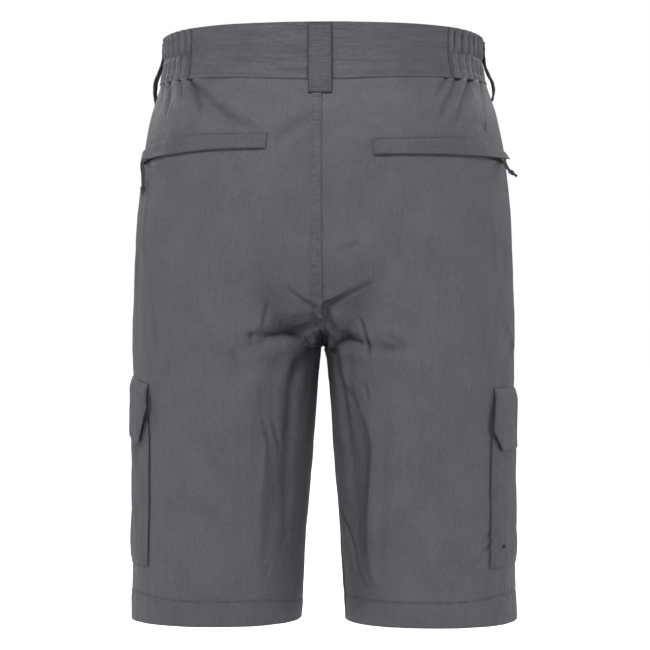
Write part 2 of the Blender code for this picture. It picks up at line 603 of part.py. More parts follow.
def main():
    for old in list(bpy.data.objects):
        bpy.data.objects.remove(old)
    shorts = bpy.data.collections.new("hiking_shorts")
    bpy.context.scene.collection.children.link(shorts)
    nylon = material("nylon", GREY, 0.62)
    tape = material("zip_tape", BLACK, 0.80)
    plastic = material("button_plastic", BLACK, 0.35)
    metal = material("zip_metal", BLACK, 0.40, 0.8)
    cord = material("pull_cord", DARK_GREY, 0.70)
    for side, label in ((LEFT, "left"), (RIGHT, "right")):
        panel("back_" + label, side, False, shorts, nylon)
        panel("front_" + label, side, True, shorts, nylon, columns=13)
        hand_pocket_cover("hand_pocket_cover_" + label, side, shorts, nylon)
        leg_zip("leg_zip_" + label, side, shorts, tape)
        zip_pull(side, label, shorts, metal, cord)
    waistband(shorts, nylon)
    belt_loops(shorts, nylon)
    pocket_cover("seat_pocket_cover_left", LEFT, LEFT_COVER, shorts, nylon)
    pocket_cover("seat_pocket_cover_right", RIGHT, RIGHT_COVER, shorts, nylon)
    for pocket in POCKETS:
        cargo_pocket(pocket, shorts, nylon)
        cargo_flap(pocket, shorts, nylon)
    fly(shorts, nylon, tape)
    button(shorts, plastic)


main()
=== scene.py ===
"""Knee-length hiking shorts in grey crinkle nylon, the upper part of zip-off trousers, filled out as if worn.

Metres, +Z up. The origin is the middle of the waist, the front faces -Y, and the wearer's left is +X. Heights
in the tables are measured up from the hem. A turn runs round half of the front or back: 0 at the side seam
and 1 at the middle seam or, on a leg, at the inseam. Past 1 it goes on over the middle to the other side.
"""

import itertools
import math
from collections import namedtuple
from functools import partial

import bmesh
import bpy
import numpy as np
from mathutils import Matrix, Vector


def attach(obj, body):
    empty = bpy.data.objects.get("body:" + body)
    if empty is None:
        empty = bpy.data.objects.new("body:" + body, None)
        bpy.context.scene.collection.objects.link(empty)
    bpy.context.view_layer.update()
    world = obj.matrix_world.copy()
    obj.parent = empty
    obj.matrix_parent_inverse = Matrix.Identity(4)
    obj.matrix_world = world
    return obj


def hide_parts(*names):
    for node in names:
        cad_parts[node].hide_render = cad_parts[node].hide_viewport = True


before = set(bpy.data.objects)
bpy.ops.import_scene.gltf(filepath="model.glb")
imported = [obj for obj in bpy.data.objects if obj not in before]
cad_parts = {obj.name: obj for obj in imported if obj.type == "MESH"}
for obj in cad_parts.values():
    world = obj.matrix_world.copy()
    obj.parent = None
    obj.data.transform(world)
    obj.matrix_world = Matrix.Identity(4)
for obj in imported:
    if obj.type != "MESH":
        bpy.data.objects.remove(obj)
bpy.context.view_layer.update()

LEFT, RIGHT = 1, -1
SIDES = ((LEFT, "left"), (RIGHT, "right"))
MM = 0.001


def table(columns, *rows):
    """Rows whose columns have names."""
    row_of = namedtuple("Row", columns)
    return [row_of(*row) for row in rows]


# ---- the form ----
INSEAM = 0.272           # hem to crotch
SEAT = 0.372             # height where the two legs have become one round seat
SPREAD_FROM = 0.345      # height where points start to spread evenly round the seat,
SPREAD_OVER = 0.110      # and the rise over which they do
ORIGIN_HEIGHT = 0.555    # hem to the middle of the waistband
GAP = 0.0003             # half the way between the two legs at the crotch,
CLOSE_OVER = 0.0016      # and the rise over which they come together under it
LEFT_HOLLOW, LEFT_SLACK, RIGHT_BAND_SLACK = 0.0022, 0.0010, 0.0016   # how far the sides are drawn in
OPENS_BELOW = 0.35       # share of the rise from crotch to seat by which the outer half of a leg opens sooner
HEM = 0.027              # depth of the turned hem

HIPS = table(
    "height half_width front back squareness",
    (0.230, 0.1904, 0.1035, 0.1150, 2.55),
    (0.272, 0.1900, 0.1060, 0.1200, 2.55),
    (0.310, 0.1892, 0.1085, 0.1245, 2.55),
    (0.360, 0.1880, 0.1110, 0.1295, 2.50),
    (0.420, 0.1845, 0.1130, 0.1320, 2.40),
    (0.470, 0.1785, 0.1130, 0.1290, 2.30),
    (0.500, 0.1720, 0.1115, 0.1235, 2.22),
    (0.525, 0.1640, 0.1090, 0.1175, 2.12),
    (0.545, 0.1600, 0.1070, 0.1140, 2.08),
    (0.585, 0.1595, 0.1050, 0.1125, 2.05),
)
LEGS = table(
    "height inner outer front back squareness",
    (0.000, 0.0225, 0.1918, 0.0770, 0.0790, 2.12),
    (0.077, 0.0175, 0.1898, 0.0845, 0.0880, 2.12),
    (0.137, 0.0130, 0.1885, 0.0905, 0.0955, 2.14),
    (0.197, 0.0085, 0.1888, 0.0965, 0.1035, 2.16),
    (0.257, 0.0040, 0.1898, 0.1020, 0.1120, 2.20),
    (0.272, 0.0027, 0.1900, 0.1030, 0.1140, 2.22),
    (0.372, 0.0000, 0.1880, 0.1080, 0.1230, 2.30),
)
# Height of the seam under the waistband and of the band's top edge, by turn on the back and on the front.
BACK_EDGE = table("turn seam top", (0.0, 0.5310, 0.5765), (0.44, 0.5300, 0.5800), (1.0, 0.5245, 0.5804))
FRONT_EDGE = table("turn seam top", (0.0, 0.5310, 0.5765), (0.50, 0.5275, 0.5710), (1.0, 0.5230, 0.5655))


def smooth(share):
    share = np.clip(share, 0.0, 1.0)
    return share * share * (3.0 - 2.0 * share)


def bump(away, width):
    """1 at no distance, and almost nothing from two widths on."""
    return np.exp(-((away / width) ** 2))


def through(keys, values, where):
    """Values on a smooth curve through the ones given at the keys."""
    keys, values = np.asarray(keys, float), np.asarray(values, float)
    slopes = np.gradient(values, keys)
    where = np.clip(where, keys[0], keys[-1])
    i = np.clip(np.searchsorted(keys, where, side="right") - 1, 0, len(keys) - 2)
    span = keys[i + 1] - keys[i]
    t = (where - keys[i]) / span
    return (
        values[i] * (1 + 2 * t) * (1 - t) ** 2
        + values[i + 1] * t * t * (3 - 2 * t)
        + slopes[i] * span * t * (1 - t) ** 2
        - slopes[i + 1] * span * t * t * (1 - t)
    )


def value_at(rows, column, where, key="height"):
    """A column of a table at places along its key column."""
    return through([getattr(row, key) for row in rows], [getattr(row, column) for row in rows], where)


def body(side, front, turn, height):
    """Points of the garment's outer face, with no folds, for arrays of turns and heights."""
    side, front, turn, height = np.broadcast_arrays(side, front, turn, height)
    side = np.where(turn > 1, -side, side)
    turn = np.where(turn > 1, 2 - turn, turn)
    facing = np.where(front, -1.0, 1.0)

    def ring(angle, half_width, depth, squareness):
        across = np.cos(angle)
        power = 2.0 / squareness
        return (
            half_width * np.sign(across) * np.abs(across) ** power,
            facing * depth * np.abs(np.sin(angle)) ** power,
        )

    def depth(rows):
        return np.where(front, value_at(rows, "front", height), value_at(rows, "back", height))

    # The leg starts to open below the crotch, the lower the further its wall is from the inseam.
    lag = OPENS_BELOW * (1 - smooth((turn - 0.5) / 0.5))
    rise = np.clip(((height - INSEAM) / (SEAT - INSEAM) + lag) / (1 + lag), 0.0, 1.0)
    squareness = value_at(HIPS, "squareness", height)
    at_middle = smooth((turn - 0.5) / 0.5)
    # While the leg opens, the seat's outer points lie straight above the leg's. The rest are evenly spread.
    above_leg = np.arccos(np.clip((0.5 + 0.5 * np.cos(turn * np.pi)) ** (squareness / 2), 0.0, 1.0))
    aligned = (1 - at_middle) * (1 - smooth((height - SPREAD_FROM) / SPREAD_OVER))
    angle = turn * np.pi / 2 + (above_leg - turn * np.pi / 2) * aligned
    hip_x, hip_y = ring(angle, value_at(HIPS, "half_width", height), depth(HIPS), squareness)
    inner, outer = (value_at(LEGS, column, height) for column in ("inner", "outer"))
    leg_x, leg_y = ring(turn * np.pi, (outer - inner) / 2, depth(LEGS), value_at(LEGS, "squareness", height))
    closing = smooth((height - INSEAM + CLOSE_OVER) / CLOSE_OVER) * smooth((turn - 0.85) / 0.15)
    leg_x = leg_x + (outer + inner) / 2 - (inner - GAP) * closing
    # Above the crotch the leg opens into the seat: evenly at the side, and as a round bow at the middle.
    by_middle = smooth((turn - 0.3) / 0.7)
    power = 0.5 + 1.5 * (1 - smooth((turn - 0.55) / 0.42))
    share = (1 - by_middle) * smooth(rise) + by_middle * rise**power * (1 + power * (1 - rise))
    x = leg_x + (hip_x - leg_x) * share
    y = leg_y + (hip_y - leg_y) * share
    # It doesn't hang quite the same on both sides.
    left_in = LEFT_HOLLOW * bump(height - 0.446, 0.028) + LEFT_SLACK * bump(height - 0.400, 0.110)
    right_in = RIGHT_BAND_SLACK * smooth((height - 0.515) / 0.03)
    x = x - np.where(side > 0, left_in, right_in) * smooth((0.6 - turn) / 0.6)
    return np.stack([side * x, y, height - ORIGIN_HEIGHT], axis=-1)


def outward(side, front, turn, height):
    """The unit normals of the body's outer face, each taken on its own side of a seam."""
    step = 0.004
    side, front, turn, height = np.broadcast_arrays(side, front, turn, height)
    low = np.where(turn > 1, np.maximum(turn - step, 1.0), np.maximum(turn - step, 0.0))
    high = np.where(turn <= 1, np.minimum(turn + step, 1.0), turn + step)
    along = body(side, front, high, height) - body(side, front, low, height)
    up = body(side, front, turn, height + 0.0005) - body(side, front, turn, height - 0.0005)
    normal = np.cross(along, up) * np.where(front, -side, side)[..., None]
    # Above the crotch both sides of the middle seam face the same way, so that they stay together.
    together = bump(turn - 1, 0.012) * smooth((height - INSEAM) / 0.004)
    normal = normal * np.stack([1 - together, np.ones(together.shape), np.ones(together.shape)], axis=-1)
    return normal / np.linalg.norm(normal, axis=-1, keepdims=True)


GIRTH_HEIGHTS = np.linspace(0.0, 0.585, 60)


def measure_girths(front):
    """How far it is from turn 0 to turn 1, at each of GIRTH_HEIGHTS."""
    turns, heights = np.meshgrid(np.linspace(0, 1, 60), GIRTH_HEIGHTS)
    rings = body(LEFT, front, turns, heights)
    return np.linalg.norm(np.diff(rings, axis=1), axis=2).sum(axis=1)


FRONT_GIRTHS, BACK_GIRTHS = measure_girths(True), measure_girths(False)


def beside(side, front, turn, height, distance):
    """The turn that lies a distance further round the wall, at the same height."""
    girths = (np.interp(height, GIRTH_HEIGHTS, known) for known in (FRONT_GIRTHS, BACK_GIRTHS))
    step = distance / np.where(front, *girths)
    moved = np.linalg.norm(body(side, front, turn + step, height) - body(side, front, turn, height), axis=-1)
    return turn + step * np.abs(distance) / np.maximum(moved, 1e-9)


def edge_height(front, turn, column):
    """Height of a waistband edge at a turn, the same on both sides of the middle."""
    turn = np.where(turn > 1, 2 - turn, turn)
    back = value_at(BACK_EDGE, column, turn, key="turn")
    return np.where(front, value_at(FRONT_EDGE, column, turn, key="turn"), back)


def wrapped(side, reach, height):
    """The side, front, turn and height of a place whose reach is measured round a leg from the side seam,
    positive to the back."""
    front = reach < 0
    return side, front, beside(side, front, np.zeros_like(reach), height, np.abs(reach)), height


# ---- folds and crinkle ----
# A crease runs through places, each given as distance from the middle, height and depth. Width is that of the
# trough, and a negative depth is a ridge. Lengths are in millimetres. Lean makes the ridge beside a trough
# higher on one side: positive is away from the middle of the garment.
BACK_CREASES = table(
    "width lean path",
    # let out of the left gathers
    (2.4, 0, ((149, 532, 2.4), (147.5, 520, 2), (148, 505, 1.4), (150, 492, 0))),
    (2.8, 0.4, ((137, 531, 2.6), (133.5, 520, 2.2), (132, 510, 0))),
    (3.4, 0.4, ((127, 530, 3), (121, 517, 2.6), (116, 502, 1.6), (112, 488, 0))),
    (3, 0, ((156, 529, 2.4), (157, 515, 2), (158, 497, 0))),
    (3.8, 0.3, (
        (126, 525, 2), (113.2, 516, 2.1), (98.9, 502, 2), (80, 488, 1.8), (64, 479, 1.2), (52, 475, 0),
    )),
    (8, 0.6, ((124, 518, 1.4), (102, 497, 2), (80, 482, 1.6), (56, 470, 0))),
    (5, 0, ((154.4, 442, 1.1), (137.7, 420, 0))),
    (6, 0.4, ((6, 487, 0.8), (19, 480, 1.7), (33, 469, 1.5), (43, 461, 0))),
    # let out of the right gathers
    (4.4, 0.5, ((-145.5, 531, 2.6), (-139.5, 512, 2.6), (-133.5, 494, 2), (-126, 478, 0))),
    (4.4, 0.5, ((-133, 530, 2.6), (-127, 514, 2.4), (-119, 496, 1.6), (-113, 484, 0))),
    (3, 0, ((-156, 529, 2.2), (-157, 512, 1.4), (-158, 493, 0))),
    (3, 0.2, ((-123, 529, 2.2), (-115, 516, 1.6), (-108, 502, 0))),
    # drag lines from the crotch, left
    (1.8, 0, ((29.2, 328, 0.5), (17.5, 319, 1.8), (7, 313, 2.4), (1, 311, 2))),
    (3.8, -0.5, (
        (2, 297, 3), (7.2, 293, 3.4), (23.6, 286, 3.8), (41.7, 283, 3), (59.7, 284, 1.8), (80, 279, 0),
    )),
    (8.5, 0, ((6, 299, 2.8), (27.6, 292, 3.6), (41.7, 289, 3), (60, 287, 0))),
    (6, 0, ((41.7, 280, 1.2), (56, 276.5, 2.2), (70, 272, 1.8), (82, 267, 0))),
    (1.8, 0, ((3, 303, 1.2), (15, 301, 1.3), (30, 298.5, 0.6), (40, 295, 0))),
    (1.8, 0, ((3, 293, 1.2), (12, 290, 1.6), (23, 285.5, 0.8), (30, 284, 0))),
    (7.5, 0, ((5, 279, -1.2), (14.4, 276, -3), (33, 270, -3), (53.2, 269, -1.4), (70, 265, 0))),
    (3, 0, ((45.7, 320, 0), (50, 303, 1.5), (53, 290, 1))),
    (2.2, 0, ((63.7, 284, 1.6), (63.1, 267, 0))),
    (2.2, 0, ((57.1, 267, 0), (47.7, 281, 0.8))),
    (3, 0, ((80.8, 267, 1.4), (74.9, 242, 0))),
    # the seam sunk between the legs
    (3.6, 0, ((1, 272.5, 3), (1, 277, 5), (1, 282, 4), (1, 290, 0))),
    (3.6, 0, ((-2.6, 272.5, 3), (-3, 277, 5), (-3.6, 282, 4), (-4.4, 290, 1.6), (-4, 297, 0))),
    # and right
    (2.4, 0, ((-6, 312, 4), (-18.7, 317, 3.6), (-32, 324, 2.4), (-50.4, 332, 1), (-56, 336, 0))),
    (5, 0, ((-4, 308, 2.6), (-12, 311, 2.4), (-24, 316, 0))),
    (3.8, 0.3, (
        (-6.9, 307, 3), (-9, 297, 3.8), (-13.8, 288, 4.2), (-27.7, 281, 3.6), (-40, 276, 2.2), (-56, 268, 0),
    )),
    (2.2, 0, ((-37.5, 300, 0.8), (-43.3, 289, 2.6), (-46.4, 272, 2.8), (-49.6, 262, 0.8), (-50, 256, 0))),
    (8, 0, ((-15, 303, -2), (-25, 298, -2.6), (-36, 287, -1.2), (-40, 282, 0))),
    (7, 0, ((-12, 272, -1.6), (-24.8, 268, -2.6), (-38, 264, -1.6), (-48, 258, 0))),
    (3, 0, ((-64, 287, 0), (-70, 282, 1.2), (-79, 275, 1), (-83, 270, 0))),
    (5.5, 0, ((-44, 277, 0.8), (-56, 272, 2.2), (-72, 270, 2), (-88, 269, 1), (-98, 268, 0))),
    (3.5, 0, ((-56, 262, 0), (-62, 267, 0.9), (-70, 270, 0.7), (-78, 272, 0))),
    # beside the inseams
    (1.6, 0, ((-3.8, 271.5, 2), (-4.6, 262, 1.8), (-6.2, 245, 1.2), (-8.5, 228, 0))),
    (1.1, 0, ((4.2, 271.5, 1.1), (5.2, 250, 0.9), (7.5, 225, 0))),
    (2.2, 0, ((-20, 364, 0.6), (-29, 366, 1.3), (-37, 369, 1.1), (-41, 366, 0))),
    (2.2, 0, ((-23, 236, 0), (-28, 227, 1.4), (-32.5, 219, 1.2), (-34, 214, 0))),
    (2.2, 0, ((-42, 240, 0), (-45, 230, 1.3), (-47, 222, 1), (-50, 216, 0))),
    # down the left leg
    (7, 0.7, (
        (6.8, 276, 2.6), (15.5, 266, 3.4), (21.2, 256, 3.8), (26.2, 234, 3.4), (27.3, 191, 2.6),
        (29, 151, 1.4), (32, 100, 0),
    )),
    (6, 0, ((57.1, 235, 0), (56.6, 192, 1), (54.8, 153, 0))),
    (2.4, 0, ((56, 206, 0), (52, 196, 1.4), (49, 184, 1.2), (47, 172, 0))),
    (2.4, 0, ((46, 204, 0), (42, 192, 1.3), (38.5, 178, 1), (37, 168, 0))),
    (3, 0, ((25.5, 92, 0.5), (35, 80, 0.4), (43.5, 62, 0))),
    (3, 0, ((50, 56, 0.9), (57.5, 38, 0))),
    (6, 0, ((134, 283, 0), (142, 264, 1.4), (149.5, 244, 1.5), (162.1, 234, 0.6))),
    (5, 0, ((148.4, 230, 0), (152.9, 201, -1.1), (157.4, 176, -1), (163.3, 151, 0))),
    (5, 0, ((110, 232, 0), (106, 160, 0.6), (108, 80, 0))),
    # down the right leg
    (6, 0.7, (
        (-9, 282, 2.2), (-15.5, 271, 3.2), (-17.2, 247, 3.4), (-20.5, 229, 3.2), (-23, 200, 2.6),
        (-26, 166, 1.4), (-30, 145, 0),
    )),
    (2.6, 0, ((-27.2, 236, 0), (-31.1, 227, 1.1), (-35, 218, 0))),
    (5, 0, ((-66, 225, 0), (-64, 182, 0.9), (-61, 105, 0.8), (-59.9, 36, 0))),
    (4, 0.3, ((-17.3, 108, 1.4), (-23.9, 86, 2), (-34.2, 50, 1.5), (-50, 32, 0))),
    (2.6, 0, ((-164.1, 89, 1), (-149.7, 81, 0))),
    (2.6, 0, ((-163.5, 78, 1.1), (-152.7, 66, 0))),
    (2.6, 0, ((-160, 73, 0), (-152, 64, 0.9), (-144.4, 55, 0))),
    (6, 0, ((-118, 235, 0), (-115, 160, 0.6), (-119, 70, 0))),
    # streaks and highlights near the side seams
    (6, 0, ((-178.9, 298, 0), (-186.5, 273, -2.5), (-181, 248, 0))),
    (3.2, 0, ((-161.6, 316, 0), (-163.8, 273, -1.6), (-159.5, 228, 0))),
    (3.5, 0, ((-165.5, 415, 0), (-169, 380, -1.4), (-170, 335, 0))),
    (3.5, 0, ((-178.5, 405, 0), (-180, 365, -1.6), (-179, 322, 0))),
    (3.5, 0, ((169, 425, 0), (173, 380, -1.4), (170, 330, 0))),
    (3.5, 0, ((179, 390, 0), (181, 345, 1.6), (179, 300, 0))),
    (3.5, 0, ((164, 345, 0), (160, 300, 1.3), (156, 262, 0))),
)
FRONT_CREASES = table(
    "width lean path",
    # from the crotch
    (5.5, 0, ((3, 298, 3), (25, 292, 2.6), (55, 297, 1.4), (85, 310, 0))),
    (4, 0, ((4, 312, 2.2), (25, 320, 1.5), (52, 334, 0))),
    (5.5, 0, ((-3, 296, 3), (-28, 288, 2.5), (-60, 291, 1.2), (-80, 298, 0))),
    (3.8, 0, ((-4, 314, 2.2), (-22, 323, 1.6), (-47, 340, 0))),
    (3, 0, ((4, 332, 1.2), (20, 345, 0))),
    (3, 0, ((-4, 336, 1), (-23, 350, 0))),
    # down the legs
    (5.5, 0.3, ((8, 274, 2.6), (18, 256, 2.6), (26, 225, 2), (30, 170, 1.2), (33, 110, 0))),
    (5.5, 0.3, ((-8, 274, 2.6), (-19, 254, 2.6), (-28, 220, 2), (-31, 165, 1.2), (-30, 120, 0))),
    (9, 0.5, ((70, 262, 0), (62, 215, 2.2), (64, 150, 2.2), (76, 80, 0))),
    (9.5, 0.5, ((-66, 268, 0), (-56, 210, 2.6), (-57, 140, 2.4), (-72, 60, 0))),
    (5, 0, ((112, 300, 0), (120, 262, 1.2), (132, 236, 0))),
    (5, 0, ((-108, 296, 0), (-118, 262, 1.2), (-130, 232, 0))),
    (3.5, 0, ((35, 98, 1), (48, 80, 0.8), (62, 62, 0))),
    (3.5, 0, ((-30, 86, 1), (-42, 66, 0.9), (-53, 40, 0))),
    # from the waist and the hand pockets
    (5, 0, ((125, 527, 1.2), (133, 500, 0.8), (142, 470, 0))),
    (5, 0, ((-123, 527, 1.2), (-133, 498, 0.8), (-140, 468, 0))),
    (4.5, 0, ((70, 526, 1), (64, 500, 0))),
    (4.5, 0, ((-72, 526, 1), (-64, 502, 0))),
    (6, 0, ((95, 420, 0), (105, 390, 1), (124, 368, 0))),
    (6, 0, ((-90, 416, 0), (-103, 388, 1), (-122, 372, 0))),
    (3.5, 0, ((176, 380, 0), (180, 330, -0.9), (178, 280, 0))),
    (3.5, 0, ((-174, 390, 0), (-179, 340, -0.9), (-177, 290, 0))),
)
# From the lines of these tables on, the inner part of a leg is turned to the other leg. Width is that over
# which it turns back again, and lean is how strong the painted shade is beside the line.
BACK_TURNS = table(
    "width lean path",
    (15, 0.2, (
        (48, 262, 0), (60, 228, 1.5), (55.2, 194, 4.4), (54, 162, 5.4), (58.3, 114, 5.4), (59.2, 66, 3.6),
        (56, 35, 1), (54, 20, 0),
    )),
    (12, 0.8, (
        (-33, 250, 0), (-36.5, 230, 2.6), (-50, 185, 5.6), (-50.7, 162, 6.6), (-48.8, 133, 6.8),
        (-46.9, 104, 6.8), (-46.9, 80, 6.2), (-48.8, 60, 5), (-53, 48, 3.4), (-60, 38, 1.5), (-65, 28, 0),
    )),
)
FRONT_TURNS = table(
    "width lean path",
    (15, 0.3, ((46, 262, 0), (60, 222, 2.5), (60, 160, 4.6), (60, 100, 4.2), (64, 45, 0))),
    (14, 0.45, ((-44, 262, 0), (-56, 226, 3), (-56, 165, 5.2), (-54, 100, 4.8), (-60, 40, 0))),
)
STEPS_PER_CREASE = 18

Trough = namedtuple("Trough", "side width lean points depths")


def turn_at(front, across, height):
    """The turn at a distance from the middle plane."""
    turns = np.linspace(0.0, 1.0, 241)
    reach = body(LEFT, front, turns, height)[:, 0]
    return float(np.interp(-abs(across), -reach, turns))


def trough(crease, front):
    """A crease laid out on the body."""
    across, heights, depths = np.array(crease.path, float).T * MM
    side = LEFT if across.mean() > 0 else RIGHT
    keys = np.arange(len(across))
    steps = np.linspace(0, keys[-1], STEPS_PER_CREASE)
    across, heights, depths = (through(keys, column, steps) for column in (across, heights, depths))
    turns = np.array([turn_at(front, x, height) for x, height in zip(across, heights)])
    points = body(side, front, turns, heights)
    return Trough(side, crease.width * MM, crease.lean, points, depths)


def troughs(back, front):
    return [trough(crease, facing) for rows, facing in ((back, False), (front, True)) for crease in rows]


TROUGHS, TURNS = troughs(BACK_CREASES, FRONT_CREASES), troughs(BACK_TURNS, FRONT_TURNS)
TURN_EDGE = 0.0020       # how round the line is from which a leg turns,
TURN_SOFT = 0.0032       # and over what distance the painted shade beside it comes in
TURN_DEEP = 6 * MM       # the depth at which its painted shade is as strong as its lean says
# The ridges beside a trough: their height as a share of its depth, and how many widths off and wide they are.
RIDGE_SHARE, RIDGE_AWAY, RIDGE_WIDTH = 0.35, 2.1, 1.2


def beside_line(points, fold, reach):
    """Which points are within reach of a crease, how far they are from it, its depth there, and 1 where they
    are on the side away from the middle or -1 where they are towards it."""
    near = np.all((points > fold.points.min(0) - reach) & (points < fold.points.max(0) + reach), axis=1)
    near = np.flatnonzero(near & (points[:, 0] * fold.side > -0.004))
    start, run = fold.points[:-1], np.diff(fold.points, axis=0)
    from_start = points[near][:, None] - start[None]
    share = np.clip((from_start * run).sum(-1) / (run * run).sum(-1), 0, 1)
    offset = from_start - share[..., None] * run
    distance = np.linalg.norm(offset, axis=-1)
    nearest = distance.argmin(axis=1)
    row = np.arange(len(near))
    share, offset, distance = share[row, nearest], offset[row, nearest], distance[row, nearest]
    depth = fold.depths[nearest] + share * (fold.depths[nearest + 1] - fold.depths[nearest])
    return near, distance, depth, np.sign(offset[:, 0]) * fold.side


def creases(points):
    """How far the creases lift the cloth at points of the body, and how much painted shade it gets there, in
    tight folds and where a leg turns in.
    """
    flat = points.reshape(-1, 3)
    total, tight = np.zeros(len(flat)), np.zeros(len(flat))
    for fold in TROUGHS:
        near, distance, depth, outer_side = beside_line(flat, fold, 4.5 * fold.width)
        away = distance / fold.width
        ridge = RIDGE_SHARE * (1 + fold.lean * outer_side) * bump(away - RIDGE_AWAY, RIDGE_WIDTH)
        total[near] -= depth * (bump(away, 1.0) - ridge)
        # Painted shade in the trough: the steeper and deeper the fold, the darker.
        tight[near] += np.clip(depth / fold.width / 1.4, 0, 1) * bump(away, 0.75)
    for fold in TURNS:
        near, distance, depth, outer_side = beside_line(flat, fold, 5.0 * fold.width)
        inward = np.where(outer_side < 0, np.sqrt(distance**2 + TURN_EDGE**2) - TURN_EDGE, 0.0)
        at_inseam = smooth((np.abs(flat[near, 0]) - 0.012) / 0.020)
        total[near] -= depth * (1 - np.exp(-inward / fold.width)) * at_inseam
        # Painted shade, mottled, on the inner part of a leg where it turns in towards the other leg.
        mottled = 1 + 0.45 * noise(flat[near], (0.006, 0.006, 0.011), 26)
        low = depth / TURN_DEEP * smooth(inward / TURN_SOFT) * np.exp(-inward / fold.width)
        tight[near] += fold.lean * low * mottled * at_inseam
    return total.reshape(points.shape[:-1]), np.minimum(tight, 1.3).reshape(points.shape[:-1])


def noise_table(seed):
    draw = np.random.default_rng(seed)
    slopes = draw.normal(size=(256, 3))
    return draw.permutation(256), slopes / np.linalg.norm(slopes, axis=1, keepdims=True)


def noise(points, sizes, seed):
    """Smooth noise from about -1 to 1, with bumps of the sizes given along X, Y and Z."""
    order, slopes = noise_table(seed)
    places = points / np.array(sizes)
    cell = np.floor(places).astype(int)
    inside = places - cell
    ease = inside**3 * (inside * (inside * 6 - 15) + 10)
    total = np.zeros(points.shape[:-1])
    for corner in itertools.product((0, 1), repeat=3):
        at = cell + corner
        key = order[(order[(order[at[..., 0] & 255] + at[..., 1]) & 255] + at[..., 2]) & 255]
        weight = np.prod(np.where(corner, ease, 1 - ease), axis=-1)
        total += weight * (slopes[key] * (inside - corner)).sum(-1)
    return 1.6 * total


def crinkle(points):
    """The soft crinkle of the cloth: upright on the legs, slacker on the seat, and tight above the hem."""
    height = points[..., 2] + ORIGIN_HEIGHT
    on_leg = smooth((0.36 - height) / 0.12)
    at_side = smooth((np.abs(points[..., 0]) - 0.13) / 0.04)
    upright = noise(points, (0.013, 0.013, 0.045), 11)
    lines = 0.5 - np.abs(noise(points, (0.017, 0.017, 0.050), 12))
    patches = noise(points, (0.018, 0.018, 0.016), 13)
    fine = noise(points, (0.0055, 0.0055, 0.014), 14)
    above_hem = bump(height - HEM - 0.004, 0.012)
    return MM * (
        (0.28 + 0.40 * on_leg + 0.20 * at_side) * upright
        + (0.34 + 0.38 * on_leg) * lines
        + 0.30 * patches
        + (0.14 + 0.10 * at_side) * fine
        + 0.35 * above_hem * noise(points, (0.008, 0.008, 0.030), 15)
    )


def puckers(points):
    """Short wrinkles where a seam holds the cloth."""
    height = points[..., 2] + ORIGIN_HEIGHT
    across = np.abs(points[..., 0])
    at_middle = bump(across - 0.002, 0.009) * smooth((height - INSEAM) / 0.02)
    middle = at_middle * noise(points, (0.030, 0.030, 0.0065), 21)
    at_hem = bump(height - hem_height(points[..., 0]), 0.005)
    hem = at_hem * noise(points, (0.007, 0.007, 0.030), 22)
    under_band = smooth((height - 0.485) / 0.045) * smooth((across - 0.112) / 0.015)
    let_out = under_band * noise(points, (0.0085, 0.0085, 0.070), 23)
    return MM * (0.50 * middle + 0.40 * hem + 0.35 * let_out)


HEM_GROOVE, HEM_GROOVE_WIDTH, HEM_FULLNESS = 0.00045, 0.0013, 0.00025


def hem_height(x):
    """The hem's stitches lie a little higher at the outside of each leg, and lower at the left inseam."""
    outside = smooth((np.abs(x) - 0.130) / 0.060)
    return 0.0245 + 0.0055 * outside - 0.0040 * smooth((0.060 - x) / 0.040) * (x > 0)


def hem_relief(points):
    """The turned hem is fuller than the single cloth over it, and its stitches pull a groove."""
    over = points[..., 2] + ORIGIN_HEIGHT - hem_height(points[..., 0])
    uneven = 1.0 + 0.9 * noise(points, (0.012, 0.012, 0.1), 16)
    return HEM_FULLNESS * smooth(0.5 - over / 0.005) - HEM_GROOVE * uneven * bump(over, HEM_GROOVE_WIDTH)


def drape(points):
    """How far the panels' outer face stands off the body."""
    return creases(points)[0] + crinkle(points) + puckers(points) + hem_relief(points)


# ---- node trees ----
def arithmetic(operation, reflected=False):
    """An operator of Value, as a Math node."""

    def apply(value, other):
        first, second = (other, value) if reflected else (value, other)
        return value.graph.node("ShaderNodeMath", {"operation": operation}, {0: first, 1: second})

    return apply


class Value:
    """An output socket that Python's own arithmetic works on."""

    def __init__(self, graph, socket):
        self.graph, self.socket = graph, socket

    __add__ = __radd__ = arithmetic("ADD")
    __sub__, __rsub__ = arithmetic("SUBTRACT"), arithmetic("SUBTRACT", True)
    __mul__ = __rmul__ = arithmetic("MULTIPLY")


class Graph:
    """A node tree that is filled in by calls of node."""

    def __init__(self, tree):
        self.tree = tree

    def node(self, kind, settings=None, inputs=None, output=0):
        made = self.tree.nodes.new(kind)
        for name, value in (settings or {}).items():
            setattr(made, name, value)
        for name, value in (inputs or {}).items():
            self.feed(made.inputs[name], value)
        return Value(self, made.outputs[output]) if len(made.outputs) else made

    def feed(self, socket, value):
        if isinstance(value, Value):
            self.tree.links.new(value.socket, socket)
        else:
            socket.default_value = value


